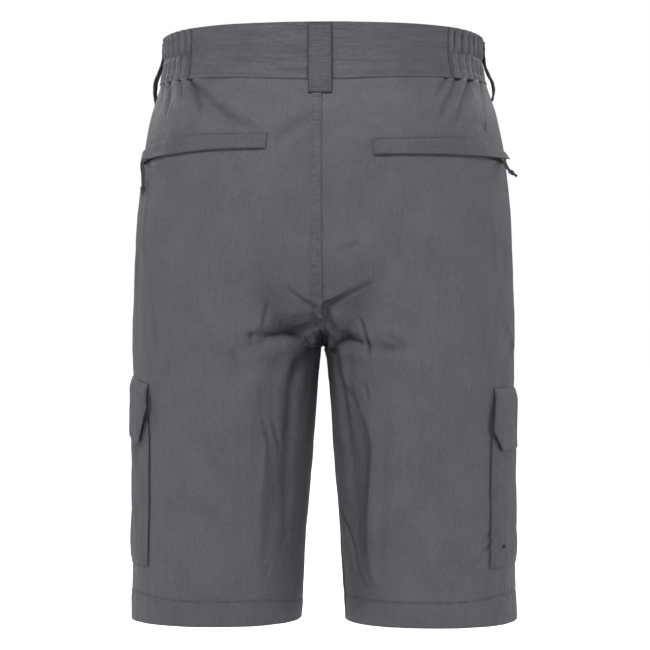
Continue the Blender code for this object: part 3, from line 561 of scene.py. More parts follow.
class Finish(Graph):
    """A material whose Principled shader is fed by the graph."""

    def __init__(self, name, **uniform):
        self.material = bpy.data.materials.new(name)
        self.material.use_nodes = True
        super().__init__(self.material.node_tree)
        self.shader = self.tree.nodes["Principled BSDF"]
        for socket, value in uniform.items():
            self.shader.inputs[socket.replace("_", " ")].default_value = value

    def cloth_place(self, across, along):
        """The place on the cloth itself, in units of these sizes in metres."""
        place = self.node("ShaderNodeUVMap", {"uv_map": "cloth"})
        return self.node("ShaderNodeMapping", {}, {"Vector": place, "Scale": (1 / across, 1 / along, 1.0)})

    def object_place(self, size):
        place = self.node("ShaderNodeTexCoord", output="Object")
        return self.node("ShaderNodeMapping", {}, {"Vector": place, "Scale": (1 / size,) * 3})

    def noise(self, place, detail=2.0, roughness=0.5):
        """Noise from 0 to 1."""
        inputs = {"Vector": place, "Scale": 1.0, "Detail": detail, "Roughness": roughness}
        return self.node("ShaderNodeTexNoise", {}, inputs)

    def waves(self, place, direction="X"):
        """Rows of round threads from 0 to 1, one to a unit."""
        settings = {"wave_type": "BANDS", "bands_direction": direction, "wave_profile": "SIN"}
        # A wave texture has 20 bands to 2 pi units.
        inputs = {"Vector": place, "Scale": math.pi / 10, "Distortion": 0.0}
        return self.node("ShaderNodeTexWave", settings, inputs, "Fac")

    def attribute(self, name):
        return self.node("ShaderNodeAttribute", {"attribute_name": name}, output="Fac")

    def blend(self, factor, low, high):
        """A colour between two."""
        low, high = ((*colour, 1.0) if isinstance(colour, tuple) else colour for colour in (low, high))
        return self.node("ShaderNodeMix", {"data_type": "RGBA"}, {0: factor, 6: low, 7: high}, 2)

    def finish(self, colour=None, roughness=None, height=None, relief=0.0):
        """Feeds the shader. Relief is how far height 0 to 1 is in metres."""
        if colour is not None:
            self.feed(self.shader.inputs["Base Color"], colour)
        if roughness is not None:
            self.feed(self.shader.inputs["Roughness"], roughness)
        if height is not None:
            normal = self.node("ShaderNodeBump", {}, {"Strength": 1.0, "Distance": relief, "Height": height})
            self.feed(self.shader.inputs["Normal"], normal)
        return self.material


NYLON_LOW, NYLON_HIGH = (0.0775, 0.0757, 0.0868), (0.1095, 0.1067, 0.1221)
# The colour that painted shade darkens the nylon towards, and how far the fold attribute takes it there.
PAINTED_SHADE, FOLD_DARKNESS = (0.0160, 0.0160, 0.0180), 0.72


def nylon(name, upright=True, relief=0.0011, coarse=1.0, tone=1.0, edge_shade=0.40):
    """Crinkle nylon: fine wrinkles and long streaks, upright or level, over a plain weave. The last argument
    is how strong the painted shade along its edges is.
    """
    made = Finish(name, Specular_IOR_Level=0.32, Sheen_Weight=0.03, Sheen_Roughness=0.45)
    weave = made.cloth_place(0.0007, 0.0007)
    threads = made.waves(weave, "X") * 0.5 + made.waves(weave, "Y") * 0.5

    def spread(across, along):
        across, along = across * coarse, along * coarse
        return made.cloth_place(across, along) if upright else made.cloth_place(along, across)

    wrinkles = made.noise(spread(0.0019, 0.0052), 3.0, 0.6)
    streaks = made.noise(spread(0.0015, 0.0300), 2.0, 0.5)
    patches = made.noise(made.cloth_place(0.0046, 0.0040), 2.0, 0.6)
    mottle = made.noise(made.object_place(0.030), 3.0, 0.55)
    # Painted shade: a dark band along each edge of the cloth.
    shaded_edge = made.attribute("edge")
    # Partly painted highlight and shade: the colour is lighter where the bump's wrinkles, streaks and patches
    # rise. The mottle adds a random tone of the cloth.
    light = 0.5 + (wrinkles + streaks * 0.9 + patches * 0.8 + mottle * 1.3 - 2.0) * 1.05
    low, high = (tuple(tone * part for part in colour) for colour in (NYLON_LOW, NYLON_HIGH))
    colour = made.blend(light, low, high)
    # Painted shade: the fold attribute darkens the colour in tight folds, where a leg turns in, and in the
    # gaps beside pockets, flaps, loops, tucks and seams. The edge attribute paints a shaded band along each
    # edge.
    colour = made.blend(made.attribute("fold") * FOLD_DARKNESS + shaded_edge * edge_shade, colour, PAINTED_SHADE)
    height = wrinkles * 0.62 + streaks * 0.40 + patches * 0.50 + threads * 0.05
    return made.finish(colour, 0.68 - wrinkles * 0.20, height, relief)


def grained(name, low, high, size, rough, relief, detail=2.0, roughness=0.5, **uniform):
    """A finish with colour, height and roughness from one grain. Rough is the least, and what is added."""
    made = Finish(name, **uniform)
    grain = made.noise(made.object_place(size), detail, roughness)
    return made.finish(made.blend(grain, low, high), rough[0] + grain * rough[1], grain, relief)


def thread(name, low, high):
    return grained(name, low, high, 0.0012, (0.55, 0.2), 0.00008, Specular_IOR_Level=0.35)


def tape(name):
    """Woven zip tape."""
    made = Finish(name, Specular_IOR_Level=0.25)
    place = made.cloth_place(0.0006, 0.0011)
    ribs = made.waves(place, "X") * 0.6 + made.waves(place, "Y") * 0.4
    dust = made.noise(made.object_place(0.004), 2.0)
    colour = made.blend(ribs * 0.6 + dust * 0.4, (0.006, 0.006, 0.007), (0.020, 0.020, 0.022))
    return made.finish(colour, 0.75 + dust * 0.15, ribs, 0.00012)


def coil(name):
    """Moulded teeth of a coil zip."""
    low, high = (0.010, 0.010, 0.011), (0.022, 0.022, 0.024)
    return grained(name, low, high, 0.002, (0.32, 0.16), 0.00003, Specular_IOR_Level=0.5)


def plated(name):
    """Dark plated metal, a little lighter where it rubs."""
    low, high = (0.020, 0.020, 0.021), (0.085, 0.084, 0.086)
    return grained(name, low, high, 0.0015, (0.30, 0.22), 0.00004, 4.0, 0.65, Metallic=0.85)


def plastic(name):
    made = Finish(name, Specular_IOR_Level=0.5)
    cloud = made.noise(made.object_place(0.004), 3.0)
    scratches = made.noise(made.object_place(0.0009), 2.0)
    colour = made.blend(cloud, (0.014, 0.014, 0.015), (0.030, 0.029, 0.031))
    return made.finish(colour, 0.34 + scratches * 0.14, scratches, 0.00002)


def braid(name):
    """Braided cord, with strands that cross round it."""
    made = Finish(name, Specular_IOR_Level=0.3, Sheen_Weight=0.1)
    place = made.cloth_place(0.0010, 0.0015)
    strands = made.waves(place, "DIAGONAL")
    fuzz = made.noise(made.object_place(0.0010), 2.0)
    colour = made.blend(strands * 0.6 + fuzz * 0.4, (0.022, 0.022, 0.024), (0.075, 0.073, 0.078))
    return made.finish(colour, 0.70 + fuzz * 0.15, strands, 0.00025)


# ---- mesh making ----
def lengths_along(points, axis):
    """How far each point of a grid is along its row or column."""
    steps = np.linalg.norm(np.diff(points, axis=axis), axis=2)
    start = np.zeros_like(np.take(steps, [0], axis=axis))
    return np.concatenate([start, np.cumsum(steps, axis=axis)], axis=axis)


def placed(name, data):
    """A new object in the scene."""
    made = bpy.data.objects.new(name, data)
    bpy.context.scene.collection.objects.link(made)
    return made


def mesh_object(name, points, faces, uv, finish, edge=None, fold=None):
    data = bpy.data.meshes.new(name)
    faces = faces.tolist() if isinstance(faces, np.ndarray) else faces
    data.from_pydata(np.asarray(points).tolist(), [], faces)
    data.polygons.foreach_set("use_smooth", np.ones(len(data.polygons), bool))
    loops = np.empty(len(data.loops), int)
    data.loops.foreach_get("vertex_index", loops)
    layer = data.uv_layers.new(name="cloth")
    layer.uv.foreach_set("vector", np.asarray(uv, np.float32)[loops].ravel())
    for label, values in (("edge", edge), ("fold", fold)):
        if values is not None:
            values = np.asarray(values, np.float32).ravel()
            data.attributes.new(label, "FLOAT", "POINT").data.foreach_set("value", values)
    data.materials.append(finish)
    data.update()
    return placed(name, data)


ROLL = 0.36          # share of its thickness by which each face of a cloth curves in at its edges
EDGE_REACH = 0.0016  # how far the painted shade along an edge of the cloth reaches in


def shell(name, outer, normals, thick, finish, closed=False, fold=0.0):
    """Cloth with two faces and rounded edges over a grid of points. A closed one joins its last column to its
    first. The normals point out."""
    thick, fold = (np.broadcast_to(grid, outer.shape[:2]) for grid in (thick, fold))
    across, up = lengths_along(outer, 1), lengths_along(outer, 0)
    to_edge = np.minimum(up, up[-1:] - up)
    if not closed:
        to_edge = np.minimum(to_edge, np.minimum(across, across[:, -1:] - across))
    if np.cross(outer[0, 1] - outer[0, 0], outer[1, 0] - outer[0, 0]) @ normals[0, 0] < 0:
        grids = outer, normals, thick, fold, across, up, to_edge
        outer, normals, thick, fold, across, up, to_edge = (grid[:, ::-1] for grid in grids)
    rows, columns = outer.shape[:2]
    wall = thick[..., None] * normals
    border = np.zeros((rows, columns), bool)
    border[[0, -1]] = True
    if not closed:
        border[:, [0, -1]] = True
    curve = np.where(border[..., None], ROLL, 0.0) * wall
    inner = outer - wall + curve
    outer = outer - curve
    count = rows * columns
    corner = np.arange(count).reshape(rows, columns)
    following = np.roll(corner, -1, axis=1)
    last = columns if closed else columns - 1
    quads = np.stack([corner[:-1], following[:-1], following[1:], corner[1:]], axis=-1)
    quads = quads[:, :last].reshape(-1, 4)

    def rim(first, second):
        return np.stack([first, first + count, second + count, second], axis=-1)

    faces = [quads, quads[:, ::-1] + count]
    faces += [rim(corner[0], following[0])[:last], rim(following[-1], corner[-1])[:last]]
    if not closed:
        faces += [rim(corner[1:, 0], corner[:-1, 0]), rim(corner[:-1, -1], corner[1:, -1])]
    uv = np.tile(np.stack([across, up], axis=-1).reshape(-1, 2), (2, 1))
    edge = np.tile(smooth(1 - to_edge / EDGE_REACH).ravel(), 2)
    points = np.concatenate([outer.reshape(-1, 3), inner.reshape(-1, 3)])
    return mesh_object(name, points, np.concatenate(faces), uv, finish, edge, np.tile(fold.ravel(), 2)), outer


def bordered(spot, u, v, border):
    """Adds a line of points close inside each edge of a grid, where its edge curves in."""
    for axis in (0, 1):
        points, u, v = (np.moveaxis(grid, axis, 0) for grid in (body(*spot(u, v)), u, v))
        first = border / np.linalg.norm(points[1] - points[0], axis=-1).mean()
        last = border / np.linalg.norm(points[-1] - points[-2], axis=-1).mean()

        def add(grid):
            near_first = grid[:1] + first * (grid[1:2] - grid[:1])
            near_last = grid[-1:] + last * (grid[-2:-1] - grid[-1:])
            whole = np.concatenate([grid[:1], near_first, grid[1:-1], near_last, grid[-1:]])
            return np.moveaxis(whole, 0, axis)

        u, v = add(u), add(v)
    return u, v


def settle(obj, slot, *nodes):
    """Every piece rides on the one body and stands for its CAD solids. Slot is not used."""
    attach(obj, "root")
    if nodes:
        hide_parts(*nodes)
    return obj


def line_on(spot, u, v, lift=0.0, extra=None, ground=drape):
    """Places on a face of cloth, as points and the directions out of it. Spot turns u and v into a side,
    front, turn and height. Lift is how far the face is from the body, extra is a function of u and v that is
    added to it, and ground is the folded cloth it lies on."""
    u, v = np.broadcast_arrays(np.asarray(u, float), np.asarray(v, float))
    where = spot(u, v)
    base, out = body(*where), outward(*where)
    offset = lift + (ground(base) if ground else 0.0) + (extra(u, v) if extra else 0.0)
    return base + out * np.broadcast_to(offset, u.shape)[..., None], out


def sew(name, spot, u, v, finish, node, lift=0.0, thick=0.0008, extra=None, ground=drape, border=0.0007,
        slot="nylon", shade=None):
    """A piece of cloth over a grid, placed as line_on says. Shade says how much painted shade it gets, on top
    of that of its folds.
    """
    u, v = bordered(spot, u, v, border)
    outer, out = line_on(spot, u, v, lift, extra, ground)
    thick = thick(u, v) if callable(thick) else thick
    fold = (creases(body(*spot(u, v)))[1] if ground else 0.0) + (shade(u, v) if shade else 0.0)
    made, outer = shell(name, outer, out, thick, finish, fold=fold)
    settle(made, slot, *([node] if node else []))


def joined(name, parts, finish):
    """One object from several (points, faces, uv)."""
    points, faces, uv, count = [], [], [], 0
    for part_points, part_faces, part_uv in parts:
        points.extend(np.asarray(part_points).tolist())
        faces.extend([[corner + count for corner in face] for face in part_faces])
        uv.extend(np.asarray(part_uv).tolist())
        count += len(part_points)
    return mesh_object(name, points, faces, uv, finish, np.zeros(len(points)))


def tube(path, radius, sides=10, closed=False):
    """A round tube along a path, closed by its caps or into a ring."""
    path = np.asarray(path, float)
    radius = np.broadcast_to(radius, len(path))
    ahead = np.roll(path, -1, axis=0) - np.roll(path, 1, axis=0)
    if not closed:
        ahead[0], ahead[-1] = path[1] - path[0], path[-1] - path[-2]
    ahead /= np.linalg.norm(ahead, axis=1, keepdims=True)
    normal = np.cross(ahead[0], (0.0, 0.0, 1.0) if abs(ahead[0, 2]) < 0.9 else (1.0, 0.0, 0.0))
    rings = []
    turns = np.linspace(0, 2 * np.pi, sides, endpoint=False)
    for point, forward, wide in zip(path, ahead, radius):
        normal = normal - forward * (normal @ forward)
        normal /= np.linalg.norm(normal)
        other = np.cross(forward, normal)
        rings.append(point + wide * (np.cos(turns)[:, None] * normal + np.sin(turns)[:, None] * other))
    count = len(path)
    faces = []
    for i in range(count if closed else count - 1):
        here, there = i * sides, (i + 1) % count * sides
        for j in range(sides):
            following = (j + 1) % sides
            faces.append([here + j, here + following, there + following, there + j])
    if not closed:
        faces += [list(range(sides))[::-1], list(range((count - 1) * sides, count * sides))]
    along = np.concatenate([[0], np.cumsum(np.linalg.norm(np.diff(path, axis=0), axis=1))])
    uv = np.stack(np.broadcast_arrays(turns[None] * radius.mean(), along[:, None]), axis=-1)
    return np.concatenate(rings), faces, uv.reshape(-1, 2)


def curve_through(points, steps):
    keys = np.arange(len(points))
    columns = np.asarray(points, float).T
    return np.stack([through(keys, column, np.linspace(0, keys[-1], steps)) for column in columns], axis=-1)


# ---- stitches ----
Stitch = namedtuple("Stitch", "pitch length width height")


def small_parts_tree():
    """Lays small round parts along lines: stitches along a seam, or teeth along a zip."""
    tree = bpy.data.node_groups.new("small_parts_along_lines", "GeometryNodeTree")
    tree.interface.new_socket("Lines", in_out="INPUT", socket_type="NodeSocketGeometry")
    for name in Stitch._fields:
        tree.interface.new_socket(name.capitalize(), in_out="INPUT", socket_type="NodeSocketFloat")
    tree.interface.new_socket("Finish", in_out="INPUT", socket_type="NodeSocketMaterial")
    tree.interface.new_socket("Parts", in_out="OUTPUT", socket_type="NodeSocketGeometry")
    graph = Graph(tree)
    given = tree.nodes.new("NodeGroupInput")
    inputs = {socket.name: Value(graph, socket) for socket in given.outputs}
    curve = graph.node("GeometryNodeMeshToCurve", {}, {"Mesh": inputs["Lines"]})
    spaced = {"Curve": curve, "Length": inputs["Pitch"]}
    places = graph.node("GeometryNodeResampleCurve", {"mode": "LENGTH"}, spaced)
    sizes = {"X": inputs["Length"], "Y": inputs["Width"], "Z": inputs["Height"]}
    size = graph.node("ShaderNodeCombineXYZ", {}, sizes)
    ball = graph.node("GeometryNodeMeshUVSphere", {}, {"Segments": 6, "Rings": 3, "Radius": 0.5})
    part = graph.node("GeometryNodeTransform", {}, {"Geometry": ball, "Scale": size})
    out = graph.node("GeometryNodeInputNamedAttribute", {"data_type": "FLOAT_VECTOR"}, {"Name": "out"})
    upright = graph.node("FunctionNodeAlignRotationToVector", {"axis": "Z"}, {"Vector": out})
    settings = {"axis": "X", "pivot_axis": "Z"}
    turned = {"Rotation": upright, "Vector": graph.node("GeometryNodeInputTangent")}
    rotation = graph.node("FunctionNodeAlignRotationToVector", settings, turned)
    parts = {"Points": places, "Instance": part, "Rotation": rotation}
    laid = graph.node("GeometryNodeInstanceOnPoints", {}, parts)
    real = graph.node("GeometryNodeRealizeInstances", {}, {"Geometry": laid})
    finished = graph.node("GeometryNodeSetMaterial", {}, {"Geometry": real, "Material": inputs["Finish"]})
    graph.node("NodeGroupOutput", {}, {"Parts": finished})
    return tree


SMALL_PARTS = small_parts_tree()


def along_lines(name, lines, size, finish, slot):
    """Small parts along lines, each given as points and directions out."""
    points, outs = (np.concatenate(grids) for grids in zip(*lines))
    counts = np.cumsum([0] + [len(line[0]) for line in lines])
    edges = [(i, i + 1) for start, end in zip(counts[:-1], counts[1:]) for i in range(start, end - 1)]
    data = bpy.data.meshes.new(name)
    data.from_pydata(points.tolist(), edges, [])
    out = data.attributes.new("out", "FLOAT_VECTOR", "POINT")
    out.data.foreach_set("vector", outs.astype(np.float32).ravel())
    made = placed(name, data)
    step = made.modifiers.new("parts", "NODES")
    step.node_group = SMALL_PARTS
    values = {**size._asdict(), "finish": finish}
    for item in SMALL_PARTS.interface.items_tree:
        if item.in_out == "INPUT" and item.name.lower() in values:
            step[item.identifier] = values[item.name.lower()]
    evaluated = made.evaluated_get(bpy.context.evaluated_depsgraph_get())
    mesh = bpy.data.meshes.new_from_object(evaluated)
    made.modifiers.clear()
    made.data = mesh
    mesh.name = name
    mesh.polygons.foreach_set("use_smooth", np.ones(len(mesh.polygons), bool))
    return settle(made, slot)


TOPSTITCH = Stitch(0.0030, 0.0023, 0.00050, 0.00042)
FINE_STITCH = Stitch(0.0026, 0.0019, 0.00040, 0.00030)
BAND_STITCHES = Stitch(0.0031, 0.0020, 0.0008, 0.0007)
BARTACK = Stitch(0.00055, 0.00060, 0.0018, 0.00035)
BUTTON_STITCH = Stitch(0.0010, 0.0016, 0.0004, 0.0005)
COIL_TEETH = Stitch(0.0014, 0.0009, 0.0048, 0.0014)
FINE_TEETH = Stitch(0.0013, 0.0008, 0.0040, 0.0008)

# ---- the finishes ----
NYLON = nylon("crinkle_nylon", edge_shade=0.16)
BAND_NYLON = nylon("waistband_nylon", False, 0.0013, 1.7, 0.89)
LOOP_NYLON = nylon("loop_nylon", False, 0.0015, 1.4, 0.80, 0.75)
POCKET_NYLON = nylon("pocket_nylon", True, 0.0018, 1.0, 0.93)
THREAD = thread("seam_thread", (0.120, 0.118, 0.128), (0.200, 0.198, 0.210))
DARK_THREAD = thread("tonal_thread", (0.085, 0.084, 0.091), (0.130, 0.128, 0.138))
TAPE = tape("zip_tape_weave")
COIL = coil("zip_teeth")
METAL = plated("plated_metal")
PLASTIC = plastic("button_plastic")
CORD = braid("pull_braid")

# The kinds of stitches, and the lines of each that the pieces ask for.
STITCH_KINDS = {
    "top": (TOPSTITCH, DARK_THREAD), "fine": (FINE_STITCH, DARK_THREAD), "hem": (FINE_STITCH, DARK_THREAD),
    "band": (BAND_STITCHES, THREAD), "seat": (TOPSTITCH, THREAD), "faint": (FINE_STITCH, DARK_THREAD),
    "bartack": (BARTACK, DARK_THREAD),
}
STITCH_LINES = {kind: [] for kind in STITCH_KINDS}


def stitch(kind, *where):
    """Asks for stitches along a line, given as line_on takes it."""
    STITCH_LINES[kind].append(line_on(*where))


# ---- where the cargo pockets and flaps are ----
POCKETS = table(
    "side label back_edge front_reach top bottom "
    "flap_reach flap_top flap_tilt flap_proud flap_straight flap_corner",
    (
        LEFT, "left",
        table(
            "height reach",
            (0.056, 0.0640), (0.083, 0.0667), (0.122, 0.0704), (0.161, 0.0745), (0.222, 0.0765),
        ),
        -0.115, 0.2220, 0.0560, 0.0805, 0.2421, 0.119, 0.0040, 0.022, 0.0190,
    ),
    (
        RIGHT, "right",
        table("height reach", (0.056, 0.0692), (0.112, 0.0714), (0.162, 0.0744), (0.215, 0.0762)),
        -0.113, 0.2150, 0.0560, 0.0775, 0.2309, 0.0, 0.0036, 0.041, 0.0150,
    ),
)
TILT_FROM = 0.020        # how far behind the side seam a tilted flap starts to fall
POCKET_LIFT, POCKET_CLOTH, POCKET_PUFF = 0.0018, 0.0010, 0.0013
UNDER_FLAP = 0.050       # the pocket lies flat from this far under its top up
# How far a flap stands off, and its corner at the front. That of its corner at the back is flap_proud.
FLAP_CLEAR, FRONT_PROUD = 0.0022, 0.0050
FLAP_CLOTH = 0.0016
FLAP_LENGTH = 0.060      # its straight side and its cut corner are in the table
EYELETS = {"left": (-0.100, 0.0770), "right": (0.0530, 0.0770)}   # reach and height
EYELET_RADIUS, EYELET_RING, EYELET_SIDES = 0.0018, 0.00045, 28
EYELET_HOLE = 0.62       # as a share of the radius
METRES_PER_TURN = 0.28   # how far a turn reaches near the back edges of the pockets

# ---- the panels ----
CLOTH, HEM_CLOTH = 0.0008, 0.0020                # one layer, and the turned hem
# A panel ends this far over the waistband's seam. Behind the band it goes up by this much, this far in.
SEWN_IN, BEHIND_BAND, BEHIND_DEPTH = 0.0006, 0.0055, 0.0024
PANEL_STEP = 0.0028                              # between rows of points where the cloth is smooth
# How far the left panel laps over the right one, from what height on, and the rise over which that starts.
LAP, LAP_FROM, LAP_RISE = 0.0034, 0.290, 0.030
# How full the felled seam is, and how far it reaches to the left.
LAP_HEIGHT, LAP_BACK = 0.0008, 0.0048
BACK_COLUMNS, FRONT_COLUMNS = 168, 92


def middle_lap(x, height, over):
    """The felled middle seam: a full, doubled band at the left panel's edge. The right panel goes under."""
    there = smooth((height - LAP_FROM) / LAP_RISE)
    if over:
        full = smooth((LAP_BACK + 0.0006 - x) / 0.0012)
        stitch_grooves = bump(x - LAP_BACK, 0.0007) + bump(x + LAP - 0.0010, 0.0006)
        return there * (LAP_HEIGHT * full - 0.00025 * stitch_grooves)
    return there * -0.0005 * smooth((x + 0.0046) / 0.0009)


def pocket_edge(pocket, height):
    """The reach of a pocket's back edge."""
    return value_at(pocket.back_edge, "reach", height)


def flap_drop(pocket, height):
    """How far a height is below the sewn top of the flap's back end."""
    return pocket.flap_top - pocket.flap_tilt * (pocket.flap_reach - TILT_FROM) - height


def corner_cut(pocket, drop):
    """How far the cut corner has taken in a flap's end, at a drop from its sewn top."""
    straight = pocket.flap_straight
    return pocket.flap_corner * np.clip((drop - straight) / (FLAP_LENGTH - straight), 0, 1)


def beside_pocket(side, turn, height):
    """Painted shadow on the back panel in the gap behind a cargo pocket's back edge and its flap's."""
    pocket = POCKETS[0] if side == LEFT else POCKETS[1]
    levels = np.linspace(pocket.bottom, pocket.flap_top, 80)
    flap_end = pocket.flap_reach - corner_cut(pocket, flap_drop(pocket, levels))
    shade = np.zeros(np.shape(turn))
    edges = (
        (pocket_edge(pocket, levels), 0.45, 0.0010, pocket.bottom, pocket.top),
        (flap_end, 0.85, 0.0016, pocket.flap_top - FLAP_LENGTH - 0.004, pocket.flap_top - 0.012),
    )
    for reach, strength, width, low, high in edges:
        edge = beside(side, False, np.zeros(80), levels, reach)
        away = (turn - np.interp(height, levels, edge)) * METRES_PER_TURN
        there = smooth((height - low) / 0.002) * smooth((high - height) / 0.010)
        shade = np.maximum(shade, strength * there * bump(away - width * 0.7, width))
    return shade


def panel_spot(side, front):
    """u is a turn, and v a height."""
    return lambda u, v: (side, front, u, v)


def panel(name, node, side, front, columns):
    """A front or a back: from hem to waistband seam and from side seam to middle seam."""
    leg = np.concatenate([
        np.arange(0.0, 0.017, PANEL_STEP), np.arange(0.018, 0.034, 0.0010),
        np.arange(0.035, INSEAM - 0.003, PANEL_STEP), INSEAM - np.array([0.0017, 0.0012, 0.0008, 0.0004]),
    ])
    bow = INSEAM + (SEAT - INSEAM) * np.linspace(0, 1, 66) ** 1.8
    straight, top = 0.457, 0.5245
    seat = np.concatenate([np.arange(SEAT + PANEL_STEP, top - 0.002, PANEL_STEP), [top]])
    even = np.linspace(0, 1, columns)
    # The columns lie closer towards the middle seam, where the folds are fine.
    shares, heights = np.meshgrid(even + 0.12 * np.sin(np.pi * even), np.concatenate([leg, bow, seat]))
    over = side == LEFT
    last = np.ones(len(heights))
    if over:
        level = heights[:, 0]
        last = beside(side, front, last, level, LAP * smooth((level - LAP_FROM) / LAP_RISE))
    turns = shares * last[:, None]
    rise = smooth((heights - straight) / (top - straight))
    heights = heights + rise * (edge_height(front, turns, "seam") + SEWN_IN - top)
    # It goes on up behind the waistband.
    turns = np.concatenate([turns, turns[-1:], turns[-1:]])
    heights = np.concatenate([heights, heights[-1:] + 0.0012, heights[-1:] + BEHIND_BAND])

    def seam(u, v):
        behind = smooth((v - edge_height(front, u, "seam") - SEWN_IN) / 0.0012)
        return middle_lap(body(side, front, u, v)[..., 0], v, over) - BEHIND_DEPTH * behind

    def thickness(u, v):
        return CLOTH + (HEM_CLOTH - CLOTH) * smooth((HEM + 0.001 - v) / 0.002)

    # Painted shade along the stitched groove of the hem, and painted shadow beside the cargo pockets and
    # flaps.
    def hem_and_pocket_shade(u, v):
        points = body(side, front, u, v)
        over = v - hem_height(points[..., 0])
        at_hem = (0.42 + 0.5 * noise(points, (0.010, 0.010, 0.1), 17)) * bump(over - 0.0004, 0.0012)
        return at_hem + (0.0 if front else beside_pocket(side, u, v))

    sew(name, panel_spot(side, front), turns, heights, NYLON, node, thick=thickness, extra=seam,
        shade=hem_and_pocket_shade)


SEAM_LIFT, SEAM_CLOTH = 0.0003, 0.0005
SEAM_STEP, SEAM_PUCKER = 0.0008, 0.00030         # between its rows of points, and the height of its puckers


def make_felled_seam(facing, label, low, high):
    """The doubled band of the middle seam, puckered by its stitches."""

    def spot(u, v):
        """u is a distance to the left of the middle."""
        return LEFT, facing, beside(LEFT, facing, np.ones(u.shape), v, -u), v

    def pucker(u, v):
        points = body(*spot(u, v))
        inside = smooth((u + LAP) / 0.0015) * smooth((LAP_BACK - u) / 0.0015)
        return SEAM_PUCKER * inside * noise(points, (0.012, 0.012, 0.0019), 24)

    def relief(u, v):
        grooves = 0.00016 * (bump(u - LAP_BACK + 0.0012, 0.0006) + bump(u + LAP - 0.0012, 0.0006))
        starts = smooth((v - LAP_FROM) / LAP_RISE)
        return LAP_HEIGHT * starts + pucker(u, v) - grooves

    # Painted shade in the hollows between the puckers.
    def pinch_shade(u, v):
        return np.clip(-0.9 * pucker(u, v) / SEAM_PUCKER, 0.0, 0.6)

    across = np.linspace(-LAP - 0.0003, LAP_BACK + 0.0003, 13)
    u, v = np.meshgrid(across, np.arange(low, high, SEAM_STEP))
    sew("seat_seam_" + label, spot, u, v, NYLON, None, SEAM_LIFT, SEAM_CLOTH, relief, border=0.0004,
        shade=pinch_shade)


def make_panels():
    for side, label in SIDES:
        panel("back_panel_" + label, "back_" + label, side, False, BACK_COLUMNS)
        panel("front_panel_" + label, "front_" + label, side, True, FRONT_COLUMNS)
    make_felled_seam(False, "back", LAP_FROM + 0.002, 0.5240)
    make_felled_seam(True, "front", LAP_FROM + 0.002, 0.4000)


# ---- the waistband ----
BAND, BAND_LIFT = 0.0022, 0.0010
BAND_STITCH = 0.050      # share of the band's height at which it is stitched above its seam
FLAT_FROM, ELASTIC_UNDER, ELASTIC_TO = 0.44, 0.0024, 0.448   # the elastic part runs on behind the flat one
TUCKS = (
    0.002, 0.026, 0.056, 0.080, 0.112, 0.140, 0.165, 0.196, 0.222,
    0.252, 0.280, 0.304, 0.336, 0.364, 0.390, 0.415, 0.452,
)
TUCK_DEPTH, TUCKS_FADE = 0.0030, 0.018
CHANNEL_DEPTH, CHANNEL_HALF_WIDTH = 0.0013, 0.045   # the width is a share of the band's height
BAND_LAP, BAND_LAP_FROM, BAND_LAP_OVER = 0.0030, 0.93, 0.065


def band_spot(side, front):
    """u is a turn, and v a share of the band's height."""

    def spot(u, v):
        seam, top = edge_height(front, u, "seam"), edge_height(front, u, "top")
        return side, front, u, seam + v * (top - seam)

    return spot


def band_crinkle(side, front):
    """Level crinkles of the flat band, with a soft sunk line where it is stitched above its seam."""
    spot = band_spot(side, front)

    def relief(u, v):
        points = body(*spot(u, v))
        level = noise(points, (0.050, 0.050, 0.0075), 31) * 0.50
        level = level + noise(points, (0.022, 0.022, 0.010), 32) * 0.34
        fine = noise(points, (0.012, 0.012, 0.0034), 33) * 0.16
        crease = 0.3 - np.abs(noise(points, (0.070, 0.070, 0.0130), 34)) * 1.1
        stitched = -0.35 * bump((v - BAND_STITCH) / 0.022, 1.0)
        return MM * (level + fine + crease + stitched)

    return relief


def tucks(side):
    """Tucks of the elastic: two rows, offset, on either side of a stitched channel. The first function says
    how far they lift the cloth, and the second where painted shade darkens their valleys, the channel and the
    join."""
    crinkles = band_crinkle(side, False)

    def valleys(u, v):
        lean = u - 0.010 * np.clip(0.5 - v, 0, 1)
        wobble = 0.006 * noise(np.stack([u * 9.0, v * 1.2 + side * 7.0, 0 * u], axis=-1), (1, 1, 1), 35)
        place = np.interp(lean + wobble, TUCKS, np.arange(len(TUCKS)))
        to_upper = smooth((v - 0.5) / 0.04 + 0.5)
        lower, upper = (1 - np.abs(np.cos(np.pi / 2 * (place + shift))) ** 0.55 for shift in (0.0, 1.0))
        uneven = 1.0 + 0.35 * noise(np.stack([place * 0.5, 3.0 * v, 0 * v + side], axis=-1), (1, 1, 1), 36)
        wave = (lower + (upper - lower) * to_upper) * uneven
        return wave * smooth((FLAT_FROM - u) / TUCKS_FADE) * smooth(u / TUCKS_FADE + 0.35)

    def relief(u, v):
        in_channel = bump(v - 0.5, CHANNEL_HALF_WIDTH)
        at_rims = 1 - 0.45 * bump(v, 0.10) - 0.45 * bump(v - 1, 0.10)
        depth = TUCK_DEPTH * valleys(u, v) * (1 - 0.75 * in_channel) * at_rims + CHANNEL_DEPTH * in_channel
        under_flat = ELASTIC_UNDER * smooth((u - FLAT_FROM + 0.004) / 0.006)
        return crinkles(u, v) + 0.0006 - depth - under_flat

    # Painted shade in the tucks' valleys, at the join with the flat band and along the stitched channel.
    def pinch_shade(u, v):
        at_end = 0.9 * bump(u - FLAT_FROM + 0.003, 0.0045)
        in_tucks = 1.1 * valleys(u, v) ** 1.6 * (1 - 0.6 * bump(v - 0.5, CHANNEL_HALF_WIDTH))
        return in_tucks + at_end + 0.25 * bump(v - 0.5, 0.02)

    return relief, pinch_shade


def band_lap(u, v):
    """The right end of the waistband steps in, under the left end."""
    return -BAND_LAP * smooth((u - BAND_LAP_FROM) / BAND_LAP_OVER)


